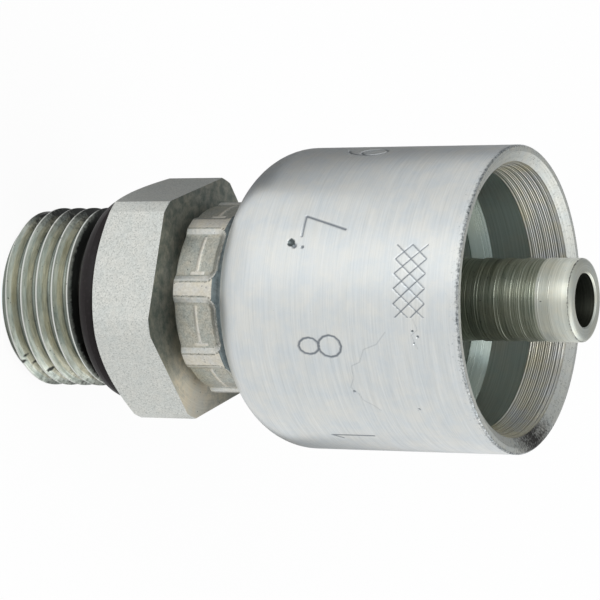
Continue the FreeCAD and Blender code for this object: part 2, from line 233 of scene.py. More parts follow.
def add_noise(tree: bpy.types.NodeTree, place: bpy.types.NodeSocket, size_mm: float, detail: float,
              roughness: float = 0.5) -> bpy.types.NodeSocket:
    """Adds even noise.

    Args:
        tree: The node tree to add to.
        place: Object coordinates, in metres.
        size_mm: Size of its largest patches.
        detail: How many finer layers it has.
        roughness: How strong the finer layers are.

    Returns:
        The noise.
    """
    return add_node(tree, "ShaderNodeTexNoise", inputs={
        "Vector": place, "Scale": 1.0 / (size_mm * MM), "Detail": detail,
        "Roughness": roughness}).outputs["Fac"]


def mix_colours(tree: bpy.types.NodeTree, share: object, first: object,
                second: object) -> bpy.types.NodeSocket:
    """Mixes two colours.

    Args:
        tree: The nodes to add to.
        share: How much of the second colour, a number or an output.
        first: A colour or an output.
        second: A colour or an output.

    Returns:
        The mixed colour.
    """
    node = add_node(tree, "ShaderNodeMix", {"data_type": "RGBA"}, {0: share, 6: first, 7: second})
    return node.outputs[2]


def radius_of(place: Vector) -> float:
    """Distance of a place from the fitting's axis, in millimetres."""
    return math.hypot(place.x, place.y) / MM


def azimuth_of(place: Vector) -> float:
    """Direction of a place round the axis, in degrees from +X."""
    return math.degrees(math.atan2(place.y, place.x))


def arc(centre: Point, radii: Point, start: float, end: float, steps: int) -> list[Point]:
    """Corners along an arc in the half plane of radius and height.

    Args:
        centre: The arc's centre.
        radii: Its radius outwards and its radius along the axis.
        start: Angle of the first corner, from the outward direction towards +Z.
        end: Angle of the last corner.
        steps: How many pieces the arc has.

    Returns:
        The corners, both ends included.
    """
    angles = [math.radians(start + (end - start) * k / steps) for k in range(steps + 1)]
    return [(centre[0] + radii[0] * math.cos(a), centre[1] + radii[1] * math.sin(a)) for a in angles]


def distance(place: Vector, start: Vector, end: Vector) -> float:
    """Distance from a place to the straight stroke between two ends.

    Args:
        place: The place.
        start: One end of the stroke.
        end: Its other end.

    Returns:
        The distance, in the unit of the places.
    """
    way = end - start
    share = min(max((place - start).dot(way) / way.length_squared, 0.0), 1.0)
    return (start + way * share - place).length


def draw_outline(name: str, corners: Sequence[Point]) -> bpy.types.Object:
    """Draws a chain of edges in the XZ plane by extruding one vertex from corner to corner.

    Args:
        name: The new object's name.
        corners: Radius and height of each corner, in millimetres.

    Returns:
        The new object, left in edit mode.
    """
    places = [Vector((radius * MM, 0.0, height * MM)) for radius, height in corners]
    bpy.ops.object.select_all(action="DESELECT")
    bpy.ops.mesh.primitive_plane_add(size=MM)
    piece = bpy.context.active_object
    piece.name = piece.data.name = name
    bpy.ops.object.mode_set(mode="EDIT")
    bpy.ops.mesh.merge(type="CENTER")
    bpy.ops.transform.translate(value=places[0])
    for near, far in zip(places, places[1:]):
        bpy.ops.mesh.extrude_region_move(TRANSFORM_OT_translate={"value": far - near})
    return piece


def pick(piece: bpy.types.Object) -> None:
    """Makes the piece the active object and the only selected one.

    Args:
        piece: The object to pick.
    """
    bpy.ops.object.select_all(action="DESELECT")
    bpy.context.view_layer.objects.active = piece
    piece.select_set(True)


def weld(piece: bpy.types.Object) -> None:
    """Merges the piece's doubled vertices and turns its faces outwards.

    Args:
        piece: The object to change.
    """
    pick(piece)
    bpy.ops.object.mode_set(mode="EDIT")
    bpy.ops.mesh.select_all(action="SELECT")
    bpy.ops.mesh.remove_doubles(threshold=WELD_MM * MM)
    bpy.ops.mesh.dissolve_degenerate(threshold=WELD_MM * MM)
    bpy.ops.mesh.select_all(action="SELECT")
    bpy.ops.mesh.normals_make_consistent(inside=False)
    bpy.ops.object.mode_set(mode="OBJECT")


def turn_on_lathe(name: str, corners: Sequence[Point], steps: int) -> bpy.types.Object:
    """Spins an outline about the fitting's axis.

    Args:
        name: The new object's name.
        corners: The outline, closed by repeating its first corner at the end where it is a ring.
        steps: Faces round the full turn.

    Returns:
        The new object.
    """
    piece = draw_outline(name, corners)
    bpy.ops.mesh.select_all(action="SELECT")
    bpy.ops.mesh.spin(steps=steps, angle=math.tau, center=(0.0, 0.0, 0.0), axis=(0.0, 0.0, 1.0))
    bpy.ops.object.mode_set(mode="OBJECT")
    weld(piece)
    return piece


def apply_modifier(piece: bpy.types.Object, kind: str, settings: dict[str, object]) -> None:
    """Adds a modifier to the piece and applies it at once.

    Args:
        piece: The object to change.
        kind: The modifier's type.
        settings: Values of its properties.
    """
    pick(piece)
    modifier = piece.modifiers.new(kind.lower(), kind)
    for name, value in settings.items():
        setattr(modifier, name, value)
    bpy.ops.object.modifier_apply(modifier=modifier.name)


def combine(piece: bpy.types.Object, tool: bpy.types.Object, operation: str) -> None:
    """Unites, intersects or cuts the piece with a tool body, which is then removed.

    Args:
        piece: The object to change.
        tool: The other body.
        operation: UNION, INTERSECT or DIFFERENCE.
    """
    apply_modifier(piece, "BOOLEAN", {"operation": operation, "object": tool, "solver": "EXACT"})
    bpy.data.objects.remove(tool, do_unlink=True)


def join(piece: bpy.types.Object, others: Sequence[bpy.types.Object]) -> None:
    """Joins the other objects into the piece.

    Args:
        piece: The object to add to.
        others: The objects that become part of it.
    """
    pick(piece)
    for other in others:
        other.select_set(True)
    bpy.ops.object.join()


def coat(piece: bpy.types.Object, finishes: Sequence[tuple[bpy.types.Material, FaceTest]]) -> None:
    """Gives each face the first finish whose test accepts it.

    Args:
        piece: The object to coat.
        finishes: Pairs of a material and a test. The last test accepts every face.
    """
    for material, _ in finishes:
        piece.data.materials.append(material)
    for face in piece.data.polygons:
        place = face.center
        spot = Spot(radius_of(place), place.z / MM, azimuth_of(place), face.normal)
        face.material_index = next(k for k, (_, accepts) in enumerate(finishes) if accepts(spot))


def soil(piece: bpy.types.Object, level: DirtLevel) -> None:
    """Notes at each vertex how much dirt and painted shade it holds.

    Args:
        piece: The object.
        level: The dirt and painted shade, from 0 to 1, at a radius, height and azimuth.
    """
    held = piece.data.attributes.new(SOILED, "FLOAT", "POINT")
    for vertex in piece.data.vertices:
        place = vertex.co
        held.data[vertex.index].value = level(radius_of(place), place.z / MM, azimuth_of(place))


def near_line(value: float, line: float, width: float) -> float:
    """How near a value is to a line, 1 on it and 0 from the width on."""
    return max(0.0, 1 - abs(value - line) / width)


def angle_between(azimuth: float, middle: float) -> float:
    """Angle between two directions round the axis, in degrees, never negative."""
    return abs((azimuth - middle + 180) % 360 - 180)


def finish_piece(piece: bpy.types.Object, node: str) -> None:
    """Smooths the piece, hangs it on the model's body and lets it stand for its node.

    Args:
        piece: The finished object.
        node: The CAD node that it replaces.
    """
    pick(piece)
    bpy.ops.object.shade_smooth_by_angle(angle=math.radians(CRISP_DEGREES))
    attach(piece, ROOT_BODY)
    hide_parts(node)
    low, high = (Vector(corner) / MM for corner in (piece.bound_box[0], piece.bound_box[6]))
    triangles = sum(len(face.vertices) - 2 for face in piece.data.polygons)
    log.info("%s: %d triangles, height %.2f to %.2f mm", piece.name, triangles, low.z, high.z)


# Chains of strokes for plain numerals, in a box one wide and one high.
NUMERALS: dict[int, tuple[Sequence[Point], ...]] = {
    1: (((0.3, 0.8), (0.55, 1.0), (0.55, 0.0)),),
    2: ((*arc((0.5, 0.73), (0.4, 0.27), 160, -35, 8), (0.08, 0.0), (0.92, 0.0)),),
    3: (arc((0.48, 0.75), (0.36, 0.25), 150, -90, 8), arc((0.48, 0.26), (0.42, 0.26), 90, -150, 8)),
    4: (((0.68, 0.0), (0.68, 1.0), (0.05, 0.3), (0.95, 0.3)),),
    5: (((0.88, 1.0), (0.25, 1.0), (0.16, 0.55), *arc((0.47, 0.32), (0.42, 0.32), 120, -145, 8)),),
    6: (arc((0.5, 0.3), (0.4, 0.3), 0, 360, 12), arc((0.9, 0.3), (0.8, 0.7), 180, 105, 5)),
    7: (((0.08, 1.0), (0.92, 1.0), (0.35, 0.0)),),
    8: (arc((0.5, 0.76), (0.32, 0.24), 0, 360, 12), arc((0.5, 0.27), (0.42, 0.27), 0, 360, 12)),
}


class Grain(Enum):
    """Which way the fine marks on a metal surface run."""

    ROUND = "round the axis, as a lathe leaves them"
    SCREWED = "along the thread, as the die leaves them"
    EVEN = "no way in particular, as a drawn, pressed or pickled surface shows them"


@dataclass(frozen=True)
class ZincPlate:
    """Zinc plated steel, clear passivated, over a surface that was machined, drawn or pressed.

    It gives the eye a satin grey metal, with fine marks in one direction, faint cool and warm
    clouds from the passivation, and small dark specks.

    Attributes:
        name: The material's name.
        pale: Colour of the high spots.
        deep: Colour between the marks.
        warm: Colour of the warm clouds.
        cool: Colour of the cool clouds.
        roughness: Middle of the roughness.
        anisotropy: How far the marks stretch the highlight.
        grain: Which way the marks run.
        mark_mm: Spacing of the marks. The real ones are about 0.05 mm, too fine to show.
        mark_length_mm: Length of the marks.
        mark_depth_um: Depth of the marks, in thousandths of a millimetre.
        contrast: How far the marks change the colour, from 0 to 1.
        cloud_mm: Size of the clouds.
        cloud_share: How much of their colour the clouds give.
        speck_mm: Size of the dark specks.
        speck_level: Noise level above which there is a speck. Higher gives fewer.
        speck: Colour of the specks.
        struck: Colour at the bottom of what is struck into the surface, which shows more the deeper the
            mark.
        dirt: Colour of oily dirt, and of painted shade in creases, recesses and shaded sides.
        dirt_mm: Size of the patches that the dirt and painted shade break up into.
        dirt_softness: How softly the patches end.
        dirt_share: How much of the metal the dirt and painted shade hide where they lie.
    """

    name: str
    pale: str
    deep: str
    warm: str
    cool: str
    roughness: float = 0.36
    anisotropy: float = 0.6
    grain: Grain = Grain.ROUND
    mark_mm: float = 0.12
    mark_length_mm: float = 9.0
    mark_depth_um: float = 6.0
    contrast: float = 0.7
    cloud_mm: float = 5.0
    cloud_share: float = 0.35
    speck_mm: float = 0.22
    speck_level: float = 0.72
    speck: str = "#5B5E5C"
    struck: str = "#7C8288"
    dirt: str = "#2B2825"
    dirt_mm: float = 0.25
    dirt_softness: float = 0.16
    dirt_share: float = 1.0

    def make(self) -> bpy.types.Material:
        """Builds the node material.

        Returns:
            The material.
        """
        material = new_material(self.name)
        tree = material.node_tree
        place = add_node(tree, "ShaderNodeTexCoord").outputs["Object"]
        marks = self.marks(tree, place)
        colour = self.colour(tree, place, marks)
        roughness = remap(tree, marks, *NOISE_RANGE, self.roughness + ROUGHNESS_SWING,
                          self.roughness - ROUGHNESS_SWING)
        bump = add_node(tree, "ShaderNodeBump", inputs={
            "Height": marks, "Strength": 1.0, "Distance": self.mark_depth_um * MM * MM})
        # A quarter turn, because marks spread a highlight across themselves and not along.
        shader = add_node(tree, "ShaderNodeBsdfPrincipled", inputs={
            "Base Color": colour, "Metallic": 1.0, "Roughness": roughness,
            "Anisotropic": self.anisotropy, "Anisotropic Rotation": 0.25,
            "Normal": bump.outputs["Normal"]})
        if self.grain is not Grain.EVEN:
            tangent = add_node(tree, "ShaderNodeTangent", {"direction_type": "RADIAL", "axis": "Z"})
            tree.links.new(tangent.outputs["Tangent"], shader.inputs["Tangent"])
        add_node(tree, "ShaderNodeOutputMaterial", inputs={"Surface": shader.outputs["BSDF"]})
        return material

    def marks(self, tree: bpy.types.NodeTree, place: bpy.types.NodeSocket) -> bpy.types.NodeSocket:
        """Noise stretched along the grain.

        Args:
            tree: The material's nodes.
            place: Object coordinates, in metres.

        Returns:
            The height of the marks, about 0.3 to 0.7.
        """
        across = 1.0 / (self.mark_mm * MM)
        along = 1.0 / (self.mark_length_mm * MM)
        if self.grain is Grain.EVEN:
            vector = calculate_vector(tree, "MULTIPLY", place, (across, across, across))
        else:
            # A turned face has rings of one radius and a turned wall rings of one height.
            flat = calculate_vector(tree, "MULTIPLY", place, (1.0, 1.0, 0.0))
            radius = calculate_vector(tree, "LENGTH", flat)
            axes = add_node(tree, "ShaderNodeSeparateXYZ", inputs={0: place}).outputs
            height = axes["Z"]
            if self.grain is Grain.SCREWED:
                turn = calculate(tree, "ARCTAN2", axes["Y"], axes["X"])
                lead = -FittingBody.thread_pitch * MM / math.tau
                height = calculate(tree, "MULTIPLY_ADD", turn, lead, height)
            ring = calculate(tree, "MULTIPLY_ADD", radius, RADIUS_WEIGHT, height)
            lift = add_node(tree, "ShaderNodeCombineXYZ", inputs={"Z": ring}).outputs["Vector"]
            spread = calculate_vector(tree, "MULTIPLY", flat, (along, along, 0.0))
            vector = calculate_vector(tree, "MULTIPLY_ADD", lift, (0.0, 0.0, across), spread)
        return add_node(tree, "ShaderNodeTexNoise", inputs={
            "Vector": vector, "Scale": 1.0, "Detail": 4.0, "Roughness": 0.7}).outputs["Fac"]

    def colour(self, tree: bpy.types.NodeTree, place: bpy.types.NodeSocket,
               marks: bpy.types.NodeSocket) -> bpy.types.NodeSocket:
        """The colour under the marks, clouds and specks.

        Args:
            tree: The material's nodes.
            place: Object coordinates, in metres.
            marks: The height of the marks.

        Returns:
            The colour.
        """
        half = 0.5 * self.contrast
        level = remap(tree, marks, *NOISE_RANGE, 0.5 - half, 0.5 + half)
        metal = mix_colours(tree, level, linear(self.deep), linear(self.pale))
        clouds = remap(tree, add_noise(tree, place, self.cloud_mm, 6.0, 0.65), *CLOUD_RANGE)
        tint = mix_colours(tree, clouds, linear(self.cool), linear(self.warm))
        clouded = mix_colours(tree, self.cloud_share, metal, tint)
        grit = add_noise(tree, place, self.speck_mm, 2.0)
        specks = remap(tree, grit, self.speck_level - SPECK_SOFTNESS, self.speck_level + SPECK_SOFTNESS)
        specked = mix_colours(tree, specks, clouded, linear(self.speck))
        struck = add_node(tree, "ShaderNodeAttribute", {"attribute_name": STRUCK}).outputs["Fac"]
        marked = mix_colours(tree, struck, specked, linear(self.struck))
        # Dirt and painted shade, at the level noted on the vertices, broken into patches.
        held = add_node(tree, "ShaderNodeAttribute", {"attribute_name": SOILED}).outputs["Fac"]
        excess = calculate(tree, "SUBTRACT", held, add_noise(tree, place, self.dirt_mm, 4.0, 0.7))
        dirty = remap(tree, excess, -self.dirt_softness, self.dirt_softness, 0.0, self.dirt_share)
        return mix_colours(tree, dirty, marked, linear(self.dirt))


@dataclass(frozen=True)
class NitrileRubber:
    """Black nitrile rubber, moulded and lightly oiled.

    It gives the eye a dull near-black with a warm tint and a soft sheen along its rounding.

    Attributes:
        name: The material's name.
        colour: Colour of the clean rubber.
        dust: Colour of the dust on it.
        dust_range: Noise levels between which the dust sets in.
        dust_share: How much of the rubber the dust hides.
        roughness: The roughness.
        specular: Strength of the sheen.
        grain_mm: Size of the grain.
        grain_depth_mm: Depth of the grain.
    """

    name: str = "nitrile_rubber"
    colour: str = "#181314"
    dust: str = "#2E2829"
    dust_range: Point = (0.55, 0.75)
    dust_share: float = 0.6
    roughness: float = 0.5
    specular: float = 0.2
    grain_mm: float = 0.25
    grain_depth_mm: float = 0.01

    def make(self) -> bpy.types.Material:
        """Builds the node material.

        Returns:
            The material.
        """
        material = new_material(self.name)
        tree = material.node_tree
        place = add_node(tree, "ShaderNodeTexCoord").outputs["Object"]
        grit = add_noise(tree, place, self.grain_mm, 4.0)
        dusty = remap(tree, grit, *self.dust_range, 0.0, self.dust_share)
        colour = mix_colours(tree, dusty, linear(self.colour), linear(self.dust))
        bump = add_node(tree, "ShaderNodeBump", inputs={
            "Height": grit, "Strength": 0.6, "Distance": self.grain_depth_mm * MM})
        shader = add_node(tree, "ShaderNodeBsdfPrincipled", inputs={
            "Base Color": colour, "Roughness": self.roughness, "Specular IOR Level": self.specular,
            "Normal": bump.outputs["Normal"]})
        add_node(tree, "ShaderNodeOutputMaterial", inputs={"Surface": shader.outputs["BSDF"]})
        return material


def mount_radius(name: str) -> float:
    """Radius of one of the record's mounts, in millimetres."""
    return next(m["dims"]["r_mm"] for m in frame["record"]["mounts"] if m["name"] == name)


@dataclass
class FittingBody:
    """Stud, hexagon, neck and hose tail, turned from one piece of hexagon bar.

    Attributes:
        tip: Height of the hose tail's tip.
        tail_radius: Outer radius of the hose tail.
        stud_bore_radius: Radius of the bore drilled from the stud's end.
        tail_bore_radius: Radius of the bore through the tail.
    """

    tip: float
    tail_radius: float
    stud_bore_radius: float
    tail_bore_radius: float
    steps: int = 144
    # Crests as wide as the nominal thread, as measured.
    thread_radius: float = 7.144
    thread_pitch: float = 1.411
    thread_depth: float = 0.866
    # Share of the pitch and share of the depth, from the middle of one crest to its root.
    thread_form: tuple[Point, ...] = (
        (0.0, 1.0), (0.045, 1.0), (0.2, 0.58), (0.37, 0.11), (0.39, 0.06), (0.42, 0.02), (0.46, 0.0))
    # Depths at which the crest's finish ends, the low flank's starts and the root's starts.
    thread_coats: tuple[float, float, float] = (0.05, 0.5, 0.87)
    # Height of the first crest on the side that the photo shows, at azimuth crest_azimuth.
    crest_height: float = 0.92
    crest_azimuth: float = 286.0
    thread_length: float = 7.0
    thread_end: float = 7.75
    end_radius: float = 6.25
    end_chamfer: float = 0.9
    undercut_radius: float = 6.2
    hex_seat: float = 9.85
    hex_face: float = 15.35
    hex_across_flats: float = 17.46
    washer_radius: float = 8.68
    corner_radius: float = 9.76
    corner_break: float = 0.06
    chamfer_angle: float = 30.0
    neck_radius: float = 5.5
    lock_low: float = 17.2
    lock_high: float = 19.2
    lock_depth: float = 0.45
    neck_end: float = 23.11
    tail_start: float = 23.91
    grip_low: float = 37.67
    grip_pitch: float = 1.72
    grip_depth: float = 0.1
    grip_count: int = 4
    # Height and rise of each fine ring that the tool left on the tail.
    rings: tuple[Point, ...] = (
        (37.95, 0.008), (38.2, 0.006), (38.38, 0.012), (38.6, 0.007), (38.85, 0.01), (39.25, 0.006),
        (39.64, 0.014), (39.85, 0.012), (40.1, 0.006), (40.35, 0.008), (40.7, 0.006), (41.25, 0.012),
        (41.5, 0.02), (41.75, 0.006), (42.05, 0.01), (42.25, 0.006), (42.5, 0.014), (42.7, 0.006),
        (43.05, 0.008), (43.24, 0.02), (43.48, 0.008), (43.7, 0.014), (43.9, 0.008), (44.07, 0.012),
        (44.32, 0.02), (44.75, 0.01), (45.1, 0.006), (45.6, 0.01))
    ring_half_width: float = 0.035
    ring_foot: float = 0.02
    ring_margin: float = 0.08
    tip_round: Point = (0.5, 0.3)
    # Dents from use in the thread: height, azimuth and radius of each.
    nicks: tuple[Dent, ...] = (
        (1.45, 330.0, 0.18), (1.1, 332.5, 0.16), (1.6, 340.0, 0.18), (2.85, 345.0, 0.16))
    nick_level: float = 1.3
    # Length of a degree round the thread, between its crests and its roots.
    degree_mm: float = 0.122
    # A thin grey film lies on the other side: azimuth of its middle, half width and level.
    film: tuple[float, float, float] = (12.0, 48.0, 0.58)
    # Oil lies on one side of the thread: azimuth of its middle, full and outer half width.
    oily_side: tuple[float, float, float] = (186.0, 16.0, 62.0)
    oil_level: float = 0.9
    # A painted shade line follows the thread: its level, its place in the pitch and its half width.
    thread_line: tuple[float, float, float] = (0.62, 0.63, 0.07)
    # Crests on the side in view. A little beyond the last one the run-out is painted dark: painted shade
    # in the gap before the ring.
    crest_count: int = 5
    run_out_start: float = 0.07
    run_out_level: float = 0.85
    # Painted shade on the hexagon's face beside the collar, how much less of it the side at azimuth 0
    # gets, and its half width.
    face_dirt: tuple[float, float, float] = (0.75, 0.85, 50.0)
    # Dirt round the tip: its level, its place in the rounding and its half width.
    tip_dirt: tuple[float, float, float] = (0.6, 0.7, 0.13)
    flat_margin: float = 0.15
    bore_edge: float = 0.12
    drill_depth: float = 12.0
    drill_angle: float = 118.0
    stud_bore_edge: float = 0.35

    @classmethod
    def from_frame(cls) -> "FittingBody":
        """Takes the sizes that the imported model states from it.

        Returns:
            The body's sizes.
        """
        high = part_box("fitting_body")[1]
        return cls(tip=high.z / MM, tail_radius=mount_radius("hose_tail"),
                   stud_bore_radius=mount_radius("stud_bore"), tail_bore_radius=mount_radius("tail_bore"))

    def build(self) -> bpy.types.Object:
        """Models the whole body as one mesh, and dresses it.

        The hexagon's block is solid to the axis, so the union closes the bore between the block's
        two faces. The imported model's bore is open all through.

        Returns:
            The finished piece.
        """
        body = turn_on_lathe("plated_body", self.outline(), self.steps)
        join(body, [self.thread()])
        weld(body)
        combine(body, self.hexagon(), "UNION")
        self.dress(body)
        return body

    def tail_base(self, height: float) -> float:
        """Radius of the tail, which tapers slowly on each of its grips.

        Args:
            height: Height on the tail.

        Returns:
            The radius.
        """
        share = ((height - self.grip_low) / self.grip_pitch) % 1.0
        in_grips = self.grip_low < height < self.grip_low + self.grip_count * self.grip_pitch
        return self.tail_radius - self.grip_depth * share * in_grips

    def ring(self, height: float, rise: float) -> list[Point]:
        """A fine raised turning ring on the tail.

        Args:
            height: Height of its middle.
            rise: How far it stands up.

        Returns:
            Its corners, upwards.
        """
        low, high = height - self.ring_half_width, height + self.ring_half_width
        before, after = low - self.ring_foot, high + self.ring_foot
        return [(self.tail_base(before), before), (self.tail_base(low), low),
                (self.tail_base(height) + rise, height),
                (self.tail_base(high), high), (self.tail_base(after), after)]

    def outline(self) -> list[Point]:
        """From the thread's end over the outside to the tip, and down the bore to the stud's end.

        Returns:
            The corners of the turned outline. The thread closes it.
        """
        hex_middle = (self.hex_seat + self.hex_face) / 2
        lock_radius = self.neck_radius - self.lock_depth
        corners = [(self.undercut_radius, self.thread_end), (self.undercut_radius, hex_middle),
                   (self.neck_radius, hex_middle), (self.neck_radius, self.lock_low),
                   (lock_radius, self.lock_low), (lock_radius, self.lock_high),
                   (self.neck_radius, self.lock_high), (self.neck_radius, self.neck_end),
                   (self.tail_radius, self.tail_start), (self.tail_radius, self.grip_low)]
        top = self.grip_low + self.grip_count * self.grip_pitch
        edges = [self.grip_low + k * self.grip_pitch for k in range(self.grip_count)]
        for low in edges:
            high = low + self.grip_pitch
            for height, rise in self.rings:
                if low + self.ring_margin < height < high - self.ring_margin:
                    corners += self.ring(height, rise)
            corners += [(self.tail_radius - self.grip_depth, high), (self.tail_radius, high)]
        for height, rise in self.rings:
            if height > top + self.ring_margin:
                corners += self.ring(height, rise)
        width, length = self.tip_round
        corners += arc((self.tail_radius - width, self.tip - length), self.tip_round, 0, 90, 5)
        lean = math.radians(self.drill_angle / 2)
        point = (self.stud_bore_radius - self.tail_bore_radius) / math.tan(lean)
        corners += [(self.tail_bore_radius + self.bore_edge, self.tip),
                    (self.tail_bore_radius, self.tip - self.bore_edge),
                    (self.tail_bore_radius, self.drill_depth + point),
                    (self.stud_bore_radius, self.drill_depth),
                    (self.stud_bore_radius, self.stud_bore_edge),
                    (self.stud_bore_radius + self.stud_bore_edge, 0.0), (self.end_radius, 0.0)]
        return corners

    def thread_limit(self, height: float) -> float:
        """Largest radius of the stud, on its end chamfer, its full thread or its run-out.

        Args:
            height: Height on the stud.

        Returns:
            The radius.
        """
        if height < self.end_chamfer:
            share = height / self.end_chamfer
            return self.end_radius + (self.thread_radius - self.end_radius) * share
        if height > self.thread_length:
            share = (height - self.thread_length) / (self.thread_end - self.thread_length)
            return self.thread_radius + (self.undercut_radius - self.thread_radius) * share
        return self.thread_radius

    def thread(self) -> bpy.types.Object:
        """The right-handed thread, one pitch of its outline screwed round the stud.

        What reaches past the stud is pressed back onto its ends, which then fit the lathe's rings.

        Returns:
            The thread's surface, open at both ends.
        """
        shape = (*self.thread_form, *((1 - share, rise) for share, rise in reversed(self.thread_form)))
        root = self.thread_radius - self.thread_depth
        turns = math.ceil(self.thread_end / self.thread_pitch) + 2
        start = self.crest_height - self.thread_pitch * (2 + self.crest_azimuth / 360)
        strand = draw_outline("thread", [
            (root + self.thread_depth * rise, start + self.thread_pitch * share) for share, rise in shape])
        bpy.ops.object.mode_set(mode="OBJECT")
        apply_modifier(strand, "SCREW", {
            "axis": "Z", "angle": math.tau, "screw_offset": self.thread_pitch * MM, "iterations": turns,
            "steps": self.steps, "render_steps": self.steps})
        for vertex in strand.data.vertices:
            height = min(max(vertex.co.z / MM, 0.0), self.thread_end)
            radius = radius_of(vertex.co)
            share = min(radius, self.thread_limit(height)) / radius
            vertex.co = (vertex.co.x * share, vertex.co.y * share, height * MM)
        return strand

    def hexagon(self) -> bpy.types.Object:
        """The hexagon, its corners turned to a cylinder and back to a washer face.

        A blank that is a ring wider than the bore and narrower than the neck would keep the bore open.

        Returns:
            The closed block, still a piece of its own.
        """
        length = self.hex_face - self.hex_seat
        middle = (self.hex_seat + self.hex_face) / 2
        across_corners = self.hex_across_flats / math.cos(math.radians(30))
        bpy.ops.object.select_all(action="DESELECT")
        bpy.ops.mesh.primitive_cylinder_add(vertices=6, radius=across_corners / 2 * MM, depth=length * MM,
                                            location=(0.0, 0.0, middle * MM),
                                            rotation=(0.0, 0.0, math.radians(90)))
        block = bpy.context.active_object
        bpy.ops.object.transform_apply(location=True, rotation=True, scale=True)
        slope = math.tan(math.radians(self.chamfer_angle))
        worn = self.corner_radius - self.corner_break
        blank = turn_on_lathe("hexagon_blank", [
            (0.0, self.hex_seat), (self.washer_radius, self.hex_seat),
            (self.corner_radius, self.hex_seat + (self.corner_radius - self.washer_radius) * slope),
            (self.corner_radius, self.hex_face - self.corner_break),
            (worn, self.hex_face), (0.0, self.hex_face)], self.steps * 2)
        combine(block, blank, "INTERSECT")
        return block

    def dirt(self, radius: float, height: float, azimuth: float) -> float:
        """Dirt on the thread's oily side, in its nicks and round the tip, and painted shade along the
        thread, at its run-out and on the hexagon's face.

        Args:
            radius: Radius of the place.
            height: Its height.
            azimuth: Its direction round the axis.

        Returns:
            The level of dirt and painted shade, none at 0 or less and full at 1.
        """
        if height < self.thread_end:
            middle, full, outer = self.oily_side
            oil = min(max((outer - angle_between(azimuth, middle)) / (outer - full), 0.0), 1.0)
            nicks = (self.nick_level
                     - math.hypot(height - level, angle_between(azimuth, way) * self.degree_mm) / size
                     for level, way, size in self.nicks)
            ahead = (azimuth - self.crest_azimuth + 180) % 360 - 180
            turns = (height - self.crest_height) / self.thread_pitch - ahead / 360
            # Painted shade in the run-out beyond the last crest in view.
            run_out = self.run_out_level * (turns > self.crest_count - 1 + self.run_out_start)
            middle, width, level = self.film
            film = level * near_line(angle_between(azimuth, middle), 0.0, width)
            # A painted shade line along each turn of the thread.
            level, share, width = self.thread_line
            line = level * near_line(turns % 1, share, width)
            return max(self.oil_level * oil, film, line, run_out, *nicks)
        if self.hex_seat < height < self.hex_face + 0.01:
            # Painted shade on the hexagon's face, lighter towards azimuth 0.
            level, less, width = self.face_dirt
            return level - less * near_line(angle_between(azimuth, 0.0), 0.0, width)
        level, share, width = self.tip_dirt
        return level * near_line(height, self.tip - self.tip_round[1] * share, width)

    def dress(self, body: bpy.types.Object) -> None:
        """Coats the flats, the thread, the faces and the tail, and puts the body in its place.

        Args:
            body: The closed mesh.
        """
        crest, half_way, root = (
            self.thread_radius - self.thread_depth * share for share in self.thread_coats)
        thread_top = self.thread_length + 0.1

        def on_flat(spot: Spot) -> bool:
            """Whether a face is part of the hexagon's sides."""
            return (spot.radius > self.hex_across_flats / 2 - self.flat_margin
                    and self.hex_seat < spot.height < self.hex_face and abs(spot.normal.z) < ACROSS_AXIS)

        def in_bore(spot: Spot) -> bool:
            """Whether a face is part of the bore's wall."""
            limit = self.tail_bore_radius if spot.height > self.drill_depth else self.stud_bore_radius
            return spot.radius < limit + 0.01

        # The bore, the thread's roots, the undercut and the tail get darker copies of the plate: painted
        # shade.
        coat(body, (
            (DARK_BORE.make(), in_bore),
            (DRAWN_FLAT.make(), on_flat),
            (THREAD_CREST.make(), Zone(inner=crest, high=self.thread_length)),
            (THREAD_ROOT.make(), Zone(outer=root, high=thread_top)),
            (LOW_FLANK.make(), Zone(outer=half_way, high=thread_top)),
            (TURNED_THREAD.make(), Zone(high=thread_top)),
            (OILED_UNDERCUT.make(), Zone(high=self.hex_seat - 0.01)),
            (TURNED_FACE.make(), Zone(high=self.neck_end)),
            (TURNED_TIP.make(), Zone(low=self.grip_low + self.grip_count * self.grip_pitch)),
            (TURNED_TAIL.make(), Zone())))
        soil(body, self.dirt)
        finish_piece(body, "fitting_body")


